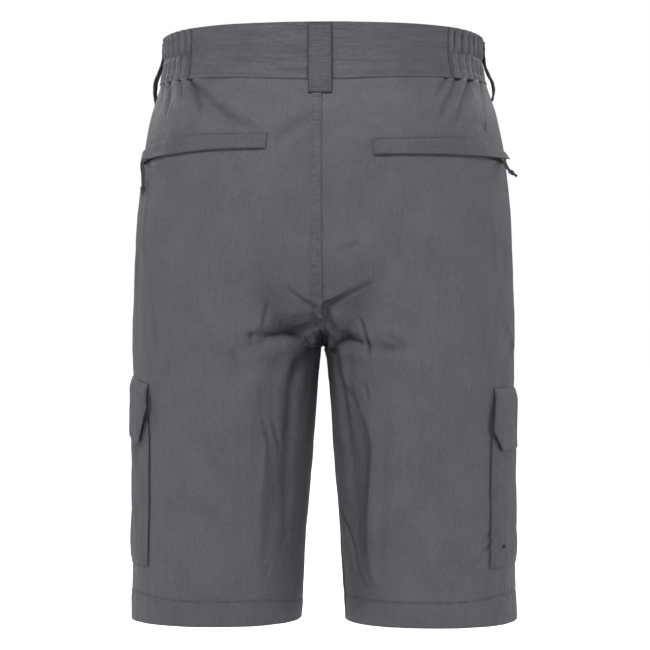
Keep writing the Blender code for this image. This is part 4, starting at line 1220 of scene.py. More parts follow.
def make_waistband():
    def band(label, side, front, turns, rows, finish, node, held, relief, shade=None):
        u, v = np.meshgrid(turns, np.linspace(0, 1, rows))
        sew("band_" + label, band_spot(side, front), u, v, finish, "waistband_" + node, BAND_LIFT, BAND,
            relief, None, shade=shade)

    # Painted shadow on the band along the sides of the back belt loop.
    def loop_shadow(u, v):
        x = body(LEFT, False, u, edge_height(False, u, "seam"))[..., 0] + BACK_LOOP_SHIFT
        return 1.1 * bump(np.abs(x) - BACK_LOOP_WIDTH / 2 - 0.0004, 0.0017)

    def lapped(u, v):
        return band_crinkle(RIGHT, True)(u, v) + band_lap(u, v)

    turns = np.concatenate([
        np.linspace(FLAT_FROM, 0.90, 62), np.linspace(0.903, 1.107, 60), np.linspace(1.115, 2 - FLAT_FROM, 60)
    ])
    flat = band_crinkle(LEFT, False)
    band("flat_back", LEFT, False, turns, 34, BAND_NYLON, "back", "hung", flat, loop_shadow)
    turns = np.linspace(0.0, ELASTIC_TO, 166)
    for side, label in SIDES:
        band("gathered_" + label, side, False, turns, 50, NYLON, "elastic_" + label, "gathered", *tucks(side))
    turns = np.linspace(0.0, 1.0, 110)
    band("front_left", LEFT, True, turns, 24, BAND_NYLON, "front_left", "hung", band_crinkle(LEFT, True))
    turns = np.linspace(0.0, 1.18, 120)
    band("front_right", RIGHT, True, turns, 24, BAND_NYLON, "front_right", "hung", lapped)


# ---- belt loops ----
FLAT_LOOP = table(
    "height away",
    (0.5118, 0.0009), (0.5160, 0.0018), (0.5235, 0.0030), (0.5400, 0.0034), (0.5600, 0.0031),
    (0.5740, 0.0024), (0.5785, 0.0020),
)
BOWED_LOOPS = {
    "left": table(
        "height away",
        (0.5118, 0.0009), (0.5145, 0.0026), (0.5190, 0.0050), (0.5240, 0.0068), (0.5300, 0.0082),
        (0.5370, 0.0084), (0.5440, 0.0066), (0.5520, 0.0042), (0.5620, 0.0024), (0.5745, 0.0018),
    ),
    "right": table(
        "height away",
        (0.5150, 0.0009), (0.5175, 0.0028), (0.5215, 0.0052), (0.5265, 0.0068), (0.5330, 0.0072),
        (0.5400, 0.0058), (0.5470, 0.0040), (0.5550, 0.0028), (0.5640, 0.0022), (0.5745, 0.0018),
    ),
}
LOOP_WALL = 0.0016
BACK_LOOP_WIDTH, LOOP_WIDTH = 0.0222, 0.013
BACK_LOOP_SHIFT = 0.0022                        # the loop at the back sits this far to the right of the seam
SIDE_LOOP_TURNS, FRONT_LOOP_TURN = {"left": 0.045, "right": 0.032}, 0.66
LOOP_STITCH_IN, LOOP_TACK_IN = 0.0022, 0.0030   # how far in from its sides and its ends a loop is stitched
BACK_LOOP_TOP, SIDE_LOOP_TOP, FRONT_LOOP_TOP = 0.5790, 0.5745, 0.5670


def belt_loop(label, side, front, turn, width, rows, top):
    """A loop that stands off the band as its table says, sewn down at both ends."""
    heights = np.array([row.height for row in rows])
    heights = heights[0] + (heights - heights[0]) * (top - heights[0]) / (heights[-1] - heights[0])
    away = [row.away for row in rows]
    low, half = heights[0], width / 2

    def spot(u, v):
        """u is a distance across the loop, and v a height."""
        return side, front, beside(side, front, np.full(u.shape, turn), v, u), v

    def stand(u, v):
        off_middle = np.abs(u)
        sides = -0.0008 * (off_middle / half) ** 6
        sides = sides - 0.00022 * bump(off_middle - half + LOOP_STITCH_IN, 0.0006)
        ends = -0.0005 * (bump(v - low - LOOP_TACK_IN, 0.0012) + bump(v - top + LOOP_TACK_IN, 0.0012))
        crinkles = 0.46 * MM * noise(body(*spot(u, v)), (0.014, 0.014, 0.0062), 41)
        return through(heights, away, v) + LOOP_WALL + sides + ends + crinkles

    u, v = np.meshgrid(np.linspace(-half, half, 21), np.linspace(low, heights[-1], 60))
    sew("loop_" + label, spot, u, v, LOOP_NYLON, "belt_loop_" + label, 0.0, LOOP_WALL, stand, None,
        0.0006)
    for across in (LOOP_STITCH_IN - half, half - LOOP_STITCH_IN):
        stitch("top", spot, across, np.linspace(low + 0.001, top - 0.001, 40), 0.0, stand, None)
    for level in (low + LOOP_TACK_IN, top - LOOP_TACK_IN):
        stitch("bartack", spot, np.linspace(0.0012 - half, half - 0.0012, 12), level, 0.0001, stand, None)


def make_belt_loops():
    turn = float(beside(LEFT, False, 1.0, 0.55, BACK_LOOP_SHIFT))
    belt_loop("back", LEFT, False, turn, BACK_LOOP_WIDTH, FLAT_LOOP, BACK_LOOP_TOP)
    for side, label in SIDES:
        kinds = (
            ("side_", SIDE_LOOP_TURNS[label], BOWED_LOOPS[label], SIDE_LOOP_TOP),
            ("front_", FRONT_LOOP_TURN, FLAT_LOOP, FRONT_LOOP_TOP),
        )
        for kind, turn, rows, top in kinds:
            belt_loop(kind + label, side, True, turn, LOOP_WIDTH, rows, top)


# ---- the zipped pockets of the seat ----
COVERS = {
    "left": table(
        "turn top bottom",
        (0.030, 0.4635, 0.4560), (0.160, 0.4655, 0.4546), (0.300, 0.4688, 0.4542), (0.460, 0.4720, 0.4558),
        (0.660, 0.4738, 0.4585), (0.862, 0.4732, 0.4590),
    ),
    "right": table(
        "turn top bottom",
        (0.030, 0.4612, 0.4558), (0.160, 0.4642, 0.4546), (0.325, 0.4695, 0.4540), (0.460, 0.4708, 0.4538),
        (0.640, 0.4698, 0.4538), (0.848, 0.4672, 0.4525),
    ),
}
COVER_LIFT, COVER_CLOTH = 0.0022, 0.0014
COVER_PROUD = {"left": 0.0010, "right": 0.0029}   # how far the outer end stands off its zip,
COVER_PROUD_OVER = 0.22                           # and over what turn
COVER_LIP = 0.0004                                # and how far the lower edge does all along
TAPE_LIFT, TAPE_CLOTH, TAPE_REACH = 0.0009, 0.0007, 0.0110
TAPE_HANGS_OUT, TAPE_OUT_AT = 0.0030, 0.20        # how far the tape shows under the cover, and at what turn: its dark end there stands in for the shade under the cover's open end


def cover_edges(rows, turn):
    """Heights of a cover's sewn top and of its free lower edge."""
    return (value_at(rows, column, turn, key="turn") for column in ("top", "bottom"))


def make_seat_pocket(side, label):
    rows, proud, under = COVERS[label], COVER_PROUD[label], ["back_panel_" + label]
    first, last = rows[0].turn, rows[-1].turn

    def spot(u, v):
        """u is a turn, and v a share of the way from the lower edge to the sewn top."""
        top, bottom = cover_edges(rows, u)
        return side, False, u, bottom + v * (top - bottom)

    def tape_spot(u, v):
        """v is a share of the way up the zip's tape, whose dark end hangs out under the outer end of the
        cover and stands in for the shade there.
        """
        top, bottom = cover_edges(rows, u)
        low = 0.0003 - TAPE_HANGS_OUT * bump(u - TAPE_OUT_AT, 0.11)
        return side, False, u, bottom + low + v * (np.minimum(TAPE_REACH, top - bottom - 0.0020) - low)

    def stand(u, v):
        open_end = proud * (1 - smooth((u - first) / COVER_PROUD_OVER)) * (1 - v)
        lip = COVER_LIP * (1 - v) ** 2 * smooth((last - u) / 0.04)
        sewn = -0.0004 * smooth((v - 0.80) / 0.20) - 0.0008 * smooth((u - last + 0.014) / 0.014)
        return open_end + lip + sewn + 0.10 * MM * noise(body(*spot(u, v)), (0.02, 0.02, 0.004), 42)

    u, v = np.meshgrid(np.linspace(first, last, 90), np.linspace(0, 1, 14))
    sew("seat_cover_" + label, spot, u, v, POCKET_NYLON, "seat_pocket_cover_" + label, COVER_LIFT,
        COVER_CLOTH, stand)
    stitch("top", spot, np.linspace(first + 0.01, last - 0.004, 80), 0.90, COVER_LIFT, stand)
    stitch("top", spot, last - 0.009, np.linspace(0.05, 0.92, 8), COVER_LIFT, stand)
    stitch("bartack", spot, last - 0.004, np.linspace(0.0, 1.0, 8), COVER_LIFT, stand)
    u, v = np.meshgrid(np.linspace(first + 0.012, last - 0.02, 90), np.linspace(0.0, 1.0, 7))
    sew("seat_zip_" + label, tape_spot, u, v, TAPE, None, TAPE_LIFT, TAPE_CLOTH, slot="zip_tape")
    teeth = line_on(tape_spot, np.linspace(first + 0.016, last - 0.03, 200), 0.24, TAPE_LIFT + 0.0003)
    along_lines("seat_zip_teeth_" + label, [teeth], FINE_TEETH, COIL, "zip_tape")


# ---- sliders and cord pulls ----
PULL_TURNS = {"left": 0.215, "right": 0.195}
HALF_LOOPS = {   # from the knot up to the slider
    "left": table(
        "across height lift",
        (-0.0009, 0.4270, 0.0026), (-0.0021, 0.4330, 0.0027), (-0.0034, 0.4400, 0.0034),
        (-0.0036, 0.4460, 0.0046), (-0.0024, 0.4502, 0.0054), (0.0000, 0.4522, 0.0056),
    ),
    "right": table(
        "across height lift",
        (-0.0009, 0.4412, 0.0092), (-0.0018, 0.4432, 0.0080), (-0.0027, 0.4456, 0.0068),
        (-0.0028, 0.4482, 0.0058), (-0.0020, 0.4506, 0.0054), (0.0000, 0.4522, 0.0054),
    ),
}
# Where the knot starts and ends, and the tips of the two cut ends, each as across, height and lift.
KNOTS = {
    "left": ((0, 0.4270, 0.0027), (0, 0.4233, 0.0028), (0.0014, 0.4204, 0.0025), (-0.0013, 0.4209, 0.0029)),
    "right": ((0, 0.4410, 0.0094), (0, 0.4380, 0.0130), (0.0012, 0.4352, 0.0166), (-0.0014, 0.4346, 0.0158)),
}
CORD_RADIUS, KNOT_RADIUS, KNOT_COILS = 0.00105, 0.0013, 2.5
SLIDER_HEIGHT, SLIDER_LIFT = 0.4512, 0.0016
SLIDER_BLOCKS = table(
    "out along size",
    (0.0007, 0.0, (0.0078, 0.0052, 0.0014)),
    (0.0021, 0.0004, (0.0066, 0.0040, 0.0010)),
    (0.0014, 0.0012, (0.0016, 0.0030, 0.0018)),
)
# The arch that the cord goes through, as distances along the slider and out of it.
SLIDER_ARCH = ((-0.0026, 0.0022), (-0.0022, 0.0036), (0.0, 0.0042), (0.0022, 0.0036), (0.0026, 0.0022))
SLIDER_ARCH_RADIUS = 0.0006


def unit(vector):
    return vector / np.linalg.norm(vector)


def rounded_box(centre, axes, size, steps=5, power=5.0):
    """A box with soft corners, as a ball pushed out towards a cube."""
    across = np.linspace(-1, 1, steps)
    points, faces, uv = [], [], []
    for axis, sign in itertools.product(range(3), (-1, 1)):
        start = len(points)
        for a, b in itertools.product(across, across):
            place = np.zeros(3)
            place[axis], place[(axis + 1) % 3], place[(axis + 2) % 3] = sign, a, b
            place = place / (np.abs(place) ** power).sum() ** (1 / power)
            points.append(np.asarray(centre) + axes @ (place * np.asarray(size) / 2))
            uv.append((a * size[0], b * size[1]))
        for i, j in itertools.product(range(steps - 1), repeat=2):
            corner = start + i * steps + j
            face = [corner, corner + steps, corner + steps + 1, corner + 1]
            faces.append(face if sign > 0 else face[::-1])
    return points, faces, uv


def welded(obj):
    """Joins the corners that a mesh was made with twice, and turns its faces out."""
    mesh = bmesh.new()
    mesh.from_mesh(obj.data)
    bmesh.ops.remove_doubles(mesh, verts=mesh.verts, dist=1e-6)
    bmesh.ops.recalc_face_normals(mesh, faces=mesh.faces)
    mesh.to_mesh(obj.data)
    mesh.free()
    return obj


def knot(start, end, tips, out):
    """An overhand knot as a coil round a core, with the cord's two cut ends."""
    axis = unit(end - start)
    first = unit(np.cross(axis, out))
    second = np.cross(axis, first)
    turns = np.linspace(0, KNOT_COILS * 2 * np.pi, 44)[:, None]
    round_core = np.cos(turns) * first + np.sin(turns) * second
    coiled = start + turns / turns[-1] * (end - start) + KNOT_RADIUS * round_core
    core = [start - axis * 0.0010, (start + end) / 2, end + axis * 0.0010]
    parts = [tube(coiled, CORD_RADIUS, 10), tube(curve_through(core, 6), KNOT_RADIUS, 10)]
    widths = np.full(8, CORD_RADIUS)
    widths[-1] *= 1.12
    for tip in tips:
        parts.append(tube(curve_through([end - axis * 0.0008, (end + tip) / 2, tip], 8), widths, 10))
    return parts


def make_pull(side, label):
    """A slider, and the loop of knotted cord through its arch."""
    pull_turn, half = PULL_TURNS[label], HALF_LOOPS[label]

    def place(across, height, lift):
        where = side, False, beside(side, False, pull_turn, height, across), height
        base = body(*where)
        return base + outward(*where) * (lift + drape(base))

    out = outward(side, False, pull_turn, SLIDER_HEIGHT)
    along = place(0.001, SLIDER_HEIGHT, 0.0) - place(-0.001, SLIDER_HEIGHT, 0.0)
    along = unit(along - out * (along @ out))
    axes = np.stack([along, np.cross(out, along), out], axis=1)
    at = place(0.0, SLIDER_HEIGHT, SLIDER_LIFT)
    parts = [rounded_box(at + out * row.out + along * row.along, axes, row.size) for row in SLIDER_BLOCKS]
    arch = curve_through([at + along * a + out * b for a, b in SLIDER_ARCH], 14)
    parts.append(tube(arch, SLIDER_ARCH_RADIUS, 8))
    settle(welded(joined("slider_" + label, parts, METAL)), "zip_metal", "zip_slider_" + label)
    loop = [place(*row) for row in half] + [place(-row.across, row.height, row.lift) for row in half[-2::-1]]
    parts = [tube(curve_through(loop, 60), CORD_RADIUS, 12)]
    settle(joined("pull_loop_" + label, parts, CORD), "pull_cord", "pull_cord_" + label)
    start, end, *tips = (place(*row) for row in KNOTS[label])
    settle(joined("pull_end_" + label, knot(start, end, tips, out), CORD), "pull_cord", "pull_knot_" + label)


# ---- cargo pockets ----
POCKET_STITCHES = (0.0016, 0.0070)   # the two rows round a pocket, and round a flap, in from the edge
FLAP_STITCHES = (0.0016, 0.0066)
FLAP_TOP_STITCHES = (0.0022, 0.0075)


def pocket_puff(pocket, u, v):
    """How full a pocket is: round between its sewn edges, flat under its flap, and crinkled."""
    share = (u - pocket.front_reach) / (pocket_edge(pocket, v) - pocket.front_reach)
    rise = (v - pocket.bottom) / (pocket.top - pocket.bottom)
    round_in = np.abs(np.sin(np.pi * np.clip(share, 0, 1))) ** 0.5 * smooth(6 * rise)
    round_in = round_in * (1 - 0.8 * smooth((v - pocket.top + UNDER_FLAP) / 0.03))
    points = body(*wrapped(pocket.side, u, v))
    own = noise(points, (0.010, 0.010, 0.034), 51) * 0.55
    own = own - np.abs(noise(points, (0.013, 0.013, 0.026), 52)) * 0.45
    return (POCKET_PUFF + MM * own) * round_in


def make_pocket(pocket):
    label, spot = pocket.label, partial(wrapped, pocket.side)

    def stand(u, v):
        """It lies close where it is sewn down along its bottom."""
        return pocket_puff(pocket, u, v) - 0.0011 * (1 - smooth((v - pocket.bottom) / 0.010))

    def gap(u, v):
        """The shade that the flap's back end casts on the pocket."""
        drop = flap_drop(pocket, v)
        over = u - (pocket.flap_reach - corner_cut(pocket, drop))
        return smooth((FLAP_LENGTH + 0.003 - drop) / 0.003) * bump(over - 0.0006, 0.0020)

    share, heights = np.meshgrid(np.linspace(0, 1, 90), np.linspace(pocket.bottom, pocket.top, 84))
    reach = pocket.front_reach + share * (pocket_edge(pocket, heights) - pocket.front_reach)
    sew("pocket_" + label, spot, reach, heights, POCKET_NYLON, "cargo_pocket_" + label, POCKET_LIFT,
        POCKET_CLOTH, stand, shade=gap)
    for inside in POCKET_STITCHES:
        rise = np.linspace(pocket.top, pocket.bottom + inside, 70)
        front_end, back_end = pocket.front_reach + inside, pocket_edge(pocket, rise) - inside
        u = np.concatenate([np.full(70, front_end), np.linspace(front_end, back_end[-1], 70), back_end[::-1]])
        v = np.concatenate([rise, np.full(70, rise[-1]), rise[::-1]])
        stitch("fine", spot, u, v, POCKET_LIFT, stand)


def make_flap(pocket):
    def spot(u, v):
        """u is a share across, and v a drop from the sewn top."""
        cut = corner_cut(pocket, v)
        front_end, back_end = pocket.front_reach - 0.002 + cut, pocket.flap_reach - cut
        reach = front_end + u * (back_end - front_end)
        fall = pocket.flap_tilt * np.maximum(reach - TILT_FROM, 0)
        return wrapped(pocket.side, reach, pocket.flap_top - v - fall)

    def stand(u, v):
        low = smooth(v / 0.012)
        to_back = (pocket.flap_proud - FLAP_CLEAR) * smooth((u - 0.74) / 0.24)
        to_front = (FRONT_PROUD - FLAP_CLEAR) * smooth((0.26 - u) / 0.24)
        corners = (to_back + to_front) * (0.35 + 0.65 * smooth((v - 0.006) / 0.040))
        own = noise(body(*spot(u, v)), (0.009, 0.009, 0.036), 53) * 0.7
        return FLAP_CLEAR * low + corners - 0.0009 * bump(v, 0.0022) + MM * own * low

    share, drop = np.meshgrid(np.linspace(0, 1, 84), np.linspace(0, FLAP_LENGTH, 34)[::-1])
    sew("flap_" + pocket.label, spot, share, drop, POCKET_NYLON, "cargo_flap_" + pocket.label,
        POCKET_LIFT, FLAP_CLOTH, stand)
    for inside in FLAP_STITCHES:
        edge = inside / (pocket.flap_reach - pocket.front_reach)
        drops = np.linspace(0.001, FLAP_LENGTH - inside, 40)
        u = np.concatenate([np.full(40, edge), np.linspace(edge, 1 - edge, 70), np.full(40, 1 - edge)])
        v = np.concatenate([drops, np.full(70, drops[-1]), drops[::-1]])
        stitch("fine", spot, u, v, POCKET_LIFT, stand)
    for drop in FLAP_TOP_STITCHES:
        stitch("fine", spot, np.linspace(0.01, 0.99, 80), drop, POCKET_LIFT, stand)
    for across in (0.012, 0.988):
        stitch("bartack", spot, across, np.linspace(0.001, 0.009, 6), POCKET_LIFT, stand)


def make_eyelet(pocket):
    """A small metal ring at the bottom of a pocket, that lets water out."""
    spot, puff = partial(wrapped, pocket.side), partial(pocket_puff, pocket)
    reach, height = EYELETS[pocket.label]
    around = np.linspace(0, 2 * np.pi, EYELET_SIDES, endpoint=False)
    u, v = reach + EYELET_RADIUS * np.cos(around), height + EYELET_RADIUS * np.sin(around)
    ring, _ = line_on(spot, u, v, POCKET_LIFT + 0.0002, puff)
    hole, _ = line_on(spot, np.full(1, reach), np.full(1, height), POCKET_LIFT + 0.00012, puff)
    points = np.concatenate([hole + (ring - hole) * EYELET_HOLE, hole])
    faces = [[i, (i + 1) % EYELET_SIDES, EYELET_SIDES] for i in range(EYELET_SIDES)]
    settle(joined("eyelet_" + pocket.label, [tube(ring, EYELET_RING, 8, True)], METAL), "zip_metal")
    # A black disc of tape cloth inside the ring stands in for the shade in the hole.
    dark = points, faces, np.zeros((len(points), 2))
    settle(welded(joined("eyelet_hole_" + pocket.label, [dark], TAPE)), "zip_tape")


# ---- the front ----
HAND_TOP, HAND_BOTTOM = (0.50, 0.5160), (0.10, 0.3950)   # turn, height
HAND_HALF_WIDTH = 0.008
FRONT_LIFT, HAND_CLOTH, FLY_CLOTH = 0.0022, 0.0014, 0.0012
FLY_WIDTH, FLY_ROUND, FLY_BOTTOM, FLY_HEIGHT = 0.036, 0.030, 0.400, 0.110
FLY_TAPE_HALF_WIDTH, FLY_TAPE_CLOTH = 0.012, 0.0009
FLY_TAPE_LIFT, FLY_TEETH_LIFT = -0.0024, -0.0036         # behind the panel
BUTTON_RADIUS, BUTTON_WALL, BUTTON_FROM_MIDDLE = 0.0085, 0.0028, 0.015
BUTTON_SIDES = 48


def make_hand_pocket(side, label):
    def spot(u, v):
        """u is the share of the way up the slant, and v a distance across it."""
        turn, height = (low + u * (high - low) for low, high in zip(HAND_BOTTOM, HAND_TOP))
        return side, True, beside(side, True, turn, height, -v), height

    def stand(u, v):
        return -0.0006 * bump(v - HAND_HALF_WIDTH, 0.003) + 0.0009 * smooth(-v / HAND_HALF_WIDTH)

    u, v = np.meshgrid(np.linspace(0, 1, 70), np.linspace(-HAND_HALF_WIDTH, HAND_HALF_WIDTH, 12))
    sew("hand_cover_" + label, spot, u, v, POCKET_NYLON, "hand_pocket_cover_" + label, FRONT_LIFT,
        HAND_CLOTH, stand)
    for across in (-HAND_HALF_WIDTH + 0.0018, HAND_HALF_WIDTH - 0.0018):
        stitch("fine", spot, np.linspace(0.01, 0.99, 70), across, FRONT_LIFT, stand)
    for share in (0.02, 0.98):
        stitch("bartack", spot, share, np.linspace(-HAND_HALF_WIDTH, HAND_HALF_WIDTH, 8), FRONT_LIFT, stand)


def make_fly():
    top = float(edge_height(True, 1.0, "seam")) - 2 * GAP

    def spot(u, v):
        """u is a share from the round edge to the middle, and v a share of the height."""
        rise = v * FLY_HEIGHT
        width = FLY_WIDTH * np.sqrt(1 - (1 - np.clip((rise + 0.002) / FLY_ROUND, 0, 1)) ** 2)
        height = FLY_BOTTOM + v * (top - FLY_BOTTOM)
        return LEFT, True, beside(LEFT, True, 1.0, height, -(GAP + (1 - u) * width) + 2 * LAP * u), height

    def stand(u, v):
        return 0.0006 * smooth(u) + 0.10 * MM * noise(body(*spot(u, v)), (0.02, 0.02, 0.008), 61)

    u, v = np.meshgrid(np.linspace(0, 1, 26), np.linspace(0, 1, 60) ** 1.3)
    sew("fly_front", spot, u, v, NYLON, "fly_cover", FRONT_LIFT, FLY_CLOTH, stand)
    for share, rise in ((0.03, (0.99, 0.02)), (0.17, (0.99, 0.02)), (0.95, (0.02, 0.99))):
        stitch("top", spot, share, np.linspace(*rise, 60), FRONT_LIFT, stand)
    stitch("bartack", spot, np.linspace(0.70, 0.98, 6), 0.05, FRONT_LIFT, stand)

    def tape_spot(u, v):
        return LEFT, True, beside(LEFT, True, 1.0, v, u), v

    across = np.linspace(-FLY_TAPE_HALF_WIDTH, FLY_TAPE_HALF_WIDTH, 14)
    u, v = np.meshgrid(across, np.linspace(FLY_BOTTOM + 0.006, top - 0.004, 60))
    sew("fly_zip_tape", tape_spot, u, v, TAPE, "fly_zip", FLY_TAPE_LIFT, FLY_TAPE_CLOTH,
        slot="zip_tape")
    rise = np.linspace(FLY_BOTTOM + 0.008, top - 0.006, 90)
    points, out = line_on(tape_spot, 0.0, rise, FLY_TEETH_LIFT)
    along_lines("fly_zip_teeth", [(points, -out)], COIL_TEETH, COIL, "zip_tape")


BUTTON_HEIGHT = 0.5 * float(edge_height(True, 1.0, "seam") + edge_height(True, 1.0, "top"))
# From the middle of the button's back round its rim to the middle of its dished front, as shares.
BUTTON_PROFILE = table(
    "radius rise",
    (0.0, 0.0), (0.80, 0.0), (0.95, 0.12), (1.0, 0.45), (0.97, 0.80), (0.88, 1.0), (0.76, 0.98), (0.66, 0.78),
    (0.50, 0.70), (0.25, 0.68), (0.0, 0.68),
)


def make_button():
    turn = float(beside(LEFT, True, 1.0, BUTTON_HEIGHT, -BUTTON_FROM_MIDDLE))
    out = outward(LEFT, True, turn, BUTTON_HEIGHT)
    centre = body(LEFT, True, turn, BUTTON_HEIGHT) + out * (BAND_LIFT + 0.0007)
    across = unit(np.cross((0.0, 0.0, 1.0), out))
    up = np.cross(out, across)
    around = np.linspace(0, 2 * np.pi, BUTTON_SIDES, endpoint=False)[:, None]
    directions = BUTTON_RADIUS * (np.cos(around) * across + np.sin(around) * up)
    rings = [centre + directions * row.radius + out * BUTTON_WALL * row.rise for row in BUTTON_PROFILE]
    points = np.concatenate([rings[0][:1], *rings[1:-1], rings[-1][:1]])
    last = len(points) - 1
    faces = []
    for i in range(BUTTON_SIDES):
        following = (i + 1) % BUTTON_SIDES
        faces += [[0, 1 + following, 1 + i], [last - BUTTON_SIDES + i, last - BUTTON_SIDES + following, last]]
        for start in range(1, last - BUTTON_SIDES, BUTTON_SIDES):
            above = start + BUTTON_SIDES
            faces.append([start + i, start + following, above + following, above + i])
    disc = points, faces, np.zeros((len(points), 2))
    settle(welded(joined("button_disc", [disc], PLASTIC)), "button_plastic", "waist_button")
    lines = []
    for sign, shift in itertools.product((-1, 1), np.linspace(-0.0004, 0.0004, 3)):
        start = centre + out * BUTTON_WALL * 0.72 + across * (sign * 0.0013 + shift) - up * 0.0016
        lines.append((np.stack([start, start + up * 0.0032]), np.stack([out, out])))
    along_lines("button_thread", lines, BUTTON_STITCH, DARK_THREAD, "nylon")


def stitch_buttonhole():
    """The worked edge of the hole that the button is through, level across the left end of the band."""
    around = np.linspace(0, 2 * np.pi, 60)
    turn = beside(LEFT, True, 1.0, BUTTON_HEIGHT, -BUTTON_FROM_MIDDLE + 0.0115 * np.cos(around))
    height = BUTTON_HEIGHT + 0.0013 * np.sin(around)
    stitch("bartack", panel_spot(LEFT, True), turn, height, BAND_LIFT + 0.0002, None, None)


# ---- the leg zips ----
LEG_ZIP_FROM, LEG_ZIP_TO, LEG_TEETH_AT, LEG_TAPE_CLOTH = 0.004, 0.0235, 0.0058, 0.0008
LEG_TAPE_LIFT, LEG_TEETH_LIFT = -HEM_CLOTH - 0.0008, -HEM_CLOTH - 0.0022   # inside the hem


def ring_of(side, height, lift, steps=90):
    """A closed line round a leg at one height, off its folded outer face."""
    round_leg = np.linspace(0, 1, steps)
    turns = np.concatenate([round_leg, round_leg[-2:0:-1]])
    where = side, np.arange(len(turns)) >= len(round_leg), turns, height
    base, out = body(*where), outward(*where)
    return base + out * (lift + drape(base))[:, None], out


def make_leg_zip(side, label):
    levels = np.linspace(LEG_ZIP_FROM, LEG_ZIP_TO, 10)
    rings = [ring_of(side, height, LEG_TAPE_LIFT) for height in levels]
    points, outs = (np.stack(grids) for grids in zip(*rings))
    made, outer = shell("hem_zip_" + label, points, outs, LEG_TAPE_CLOTH, TAPE, closed=True)
    settle(made, "zip_tape", "leg_zip_" + label)
    ring = ring_of(side, LEG_TEETH_AT, LEG_TEETH_LIFT)
    points, out = (np.concatenate([line, line[:1]]) for line in ring)
    along_lines("hem_zip_teeth_" + label, [(points, -out)], COIL_TEETH, COIL, "zip_tape")


# ---- seam stitches ----
# Where the pocket bags are caught to the back: turns of a line, as distance from the middle and height.
BAG_LINES = (
    ((0.0505, 0.416), (0.0514, 0.316), (0.0600, 0.302), (0.0783, 0.2930), (0.1315, 0.2880)),
    ((-0.0560, 0.400), (-0.0561, 0.319), (-0.0700, 0.299), (-0.0873, 0.289), (-0.1438, 0.288)),
)
BARTACKS = table(
    "across height length", (0.1668, 0.321, 0.006), (-0.1734, 0.320, 0.006), (-0.1600, 0.486, 0.012)
)
SIDE_STITCHES, INSEAM_STITCHES = (0.0016, 0.0070), -0.0018   # how far they are from their seams
ELASTIC_STITCHES = (0.045, 0.470, 0.530)                     # as shares of the band's height


def stitch_side(side):
    """The stitches of one side's seams, hems and waistband."""
    back, band = panel_spot(side, False), band_spot(side, False)
    turns = np.linspace(0.004, 0.996, 130)
    for front in (False, True):
        level = hem_height(body(side, front, turns, HEM)[:, 0])
        stitch("hem", panel_spot(side, front), turns, level, 0.00015)
    rise = np.linspace(0.002, 0.527, 240)
    for distance in SIDE_STITCHES:
        stitch("fine", back, beside(side, False, np.zeros(240), rise, distance), rise, 0.0001)
    rise = np.linspace(0.002, INSEAM - 0.006, 120)
    stitch("fine", back, beside(side, False, np.ones(120), rise, INSEAM_STITCHES), rise, 0.0001)
    tucked, flat = tucks(side)[0], band_crinkle(side, False)
    for share in ELASTIC_STITCHES:
        stitch("fine", band, np.linspace(0.006, FLAT_FROM - 0.004, 150), share, BAND_LIFT, tucked, None)
    for join, relief in ((FLAT_FROM - 0.006, tucked), (FLAT_FROM + 0.006, flat)):
        stitch("fine", band, join, np.linspace(0.04, 0.98, 30), BAND_LIFT, relief, None)
    stitch("band", band, np.linspace(FLAT_FROM, 1.0, 90), BAND_STITCH, BAND_LIFT, flat, None)
    stitch("band", band_spot(side, True), np.linspace(0.01, 0.99, 120), BAND_STITCH, BAND_LIFT,
           band_crinkle(side, True), None)


def stitch_middle():
    """Two rows along the felled middle seam, at the back and at the front."""
    for front, high in ((False, 0.5225), (True, 0.400)):
        rise = np.linspace(0.292, high, 120)
        there = smooth((rise - LAP_FROM) / LAP_RISE)
        for distance in (LAP - 0.0010, -LAP_BACK):
            u = beside(LEFT, front, np.ones(120), rise, distance * there)
            stitch("seat", panel_spot(LEFT, front), u, rise, 0.0004 + LAP_HEIGHT * there)


def stitch_across(kind, points, lift):
    """Stitches on the back, along points given as distance from the middle and height."""
    side = LEFT if points[0][0] > 0 else RIGHT
    turns = np.array([turn_at(False, x, height) for x, height in points])
    stitch(kind, panel_spot(side, False), turns, np.array(points)[:, 1], lift)


def stitch_bags():
    for path in BAG_LINES:
        stitch_across("faint", curve_through(path, 60), -0.0001)
    for row in BARTACKS:
        rise = np.linspace(-0.5, 0.5, 5) * row.length
        stitch_across("bartack", [(row.across, row.height + step) for step in rise], 0.0002)


# ---- the stage ----
CAMERA_AWAY, CAMERA_HEIGHT, CAMERA_TURN = 2.2, 0.2923 - ORIGIN_HEIGHT, math.radians(2.7)
CAMERA_SIDEWAYS = 0.0015
LENS, SENSOR = 121.85, 36.0
ROOM_LIGHT = 0.15
LIGHTS = table(
    "name place target size power",
    ("key", (0.30, 2.2, 2.35), (0.0, 0.0, -0.14), (1.1, 0.9), 92.0),
    ("left_side", (2.6, 0.35, 1.0), (0.0, 0.0, -0.25), (0.8, 1.4), 11.0),
    ("right_side", (-2.6, 0.35, 1.0), (0.0, 0.0, -0.25), (0.8, 1.4), 15.0),
    ("front_left", (1.8, -2.0, 1.3), (0.0, 0.0, -0.25), (0.9, 1.2), 26.0),
    ("front_right", (-1.8, -2.0, 1.3), (0.0, 0.0, -0.25), (0.9, 1.2), 22.0),
)
FLOOR_LEVEL, FLOOR_REACH = -ORIGIN_HEIGHT - 0.060, 12.0


def aim(obj, direction):
    obj.rotation_euler = Vector(direction).to_track_quat("-Z", "Y").to_euler()


def place_camera():
    data = bpy.data.cameras.new("camera")
    data.lens, data.sensor_width = LENS, SENSOR
    camera = placed("camera", data)
    back = Vector((-math.sin(CAMERA_TURN), math.cos(CAMERA_TURN), 0.0))
    right = Vector((-math.cos(CAMERA_TURN), -math.sin(CAMERA_TURN), 0.0))
    camera.location = back * CAMERA_AWAY + right * CAMERA_SIDEWAYS + Vector((0.0, 0.0, CAMERA_HEIGHT))
    aim(camera, -back)
    bpy.context.scene.camera = camera


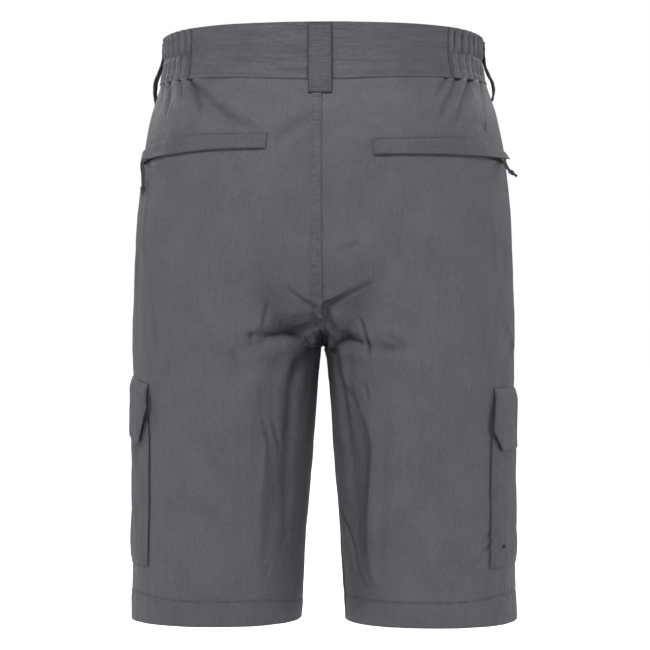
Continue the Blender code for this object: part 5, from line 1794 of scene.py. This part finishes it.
def light_room():
    """The white room shows at full strength behind the shorts, and lights them softly."""
    world = bpy.data.worlds.new("studio")
    world.use_nodes = True
    room = Graph(world.node_tree)
    seen = room.node("ShaderNodeLightPath", output="Is Camera Ray")
    background = world.node_tree.nodes["Background"]
    room.feed(background.inputs["Color"], (1.0, 1.0, 1.0, 1.0))
    room.feed(background.inputs["Strength"], ROOM_LIGHT + (1.0 - ROOM_LIGHT) * seen)
    bpy.context.scene.world = world
    for row in LIGHTS:
        data = bpy.data.lights.new(row.name, "AREA")
        data.shape, data.energy = "RECTANGLE", row.power
        data.size, data.size_y = row.size
        lamp = placed(row.name, data)
        lamp.location = row.place
        aim(lamp, Vector(row.target) - Vector(row.place))


def lay_floor():
    mesh = bpy.data.meshes.new("floor")
    corners = [(-1, -1), (1, -1), (1, 1), (-1, 1)]
    points = [(x * FLOOR_REACH, y * FLOOR_REACH, FLOOR_LEVEL) for x, y in corners]
    mesh.from_pydata(points, [], [(0, 1, 2, 3)])
    pale = Finish("pale_floor", Roughness=0.9, Specular_IOR_Level=0.1, Emission_Strength=1.0)
    seen = pale.node("ShaderNodeLightPath", output="Is Camera Ray")
    pale.feed(pale.shader.inputs["Emission Color"], pale.blend(seen, (0.20, 0.20, 0.20), (1.0, 1.0, 1.0)))
    grain = pale.noise(pale.object_place(0.4), 2.0)
    pale.finish(pale.blend(grain, (0.86, 0.86, 0.86), (0.90, 0.90, 0.90)))
    mesh.materials.append(pale.material)
    placed("floor", mesh)


def on_both_sides(make_one):
    for side, label in SIDES:
        make_one(side, label)


def main():
    bpy.context.scene.view_settings.view_transform = "Standard"
    place_camera()
    light_room()
    lay_floor()
    make_panels()
    make_waistband()
    make_belt_loops()
    on_both_sides(make_seat_pocket)
    on_both_sides(make_pull)
    for pocket in POCKETS:
        make_pocket(pocket)
        make_flap(pocket)
        make_eyelet(pocket)
    on_both_sides(make_hand_pocket)
    make_fly()
    make_button()
    on_both_sides(make_leg_zip)
    for side, _ in SIDES:
        stitch_side(side)
    stitch_middle()
    stitch_bags()
    stitch_buttonhole()
    for kind, (size, finish) in STITCH_KINDS.items():
        along_lines("stitches_" + kind, STITCH_LINES[kind], size, finish, "nylon")


main()
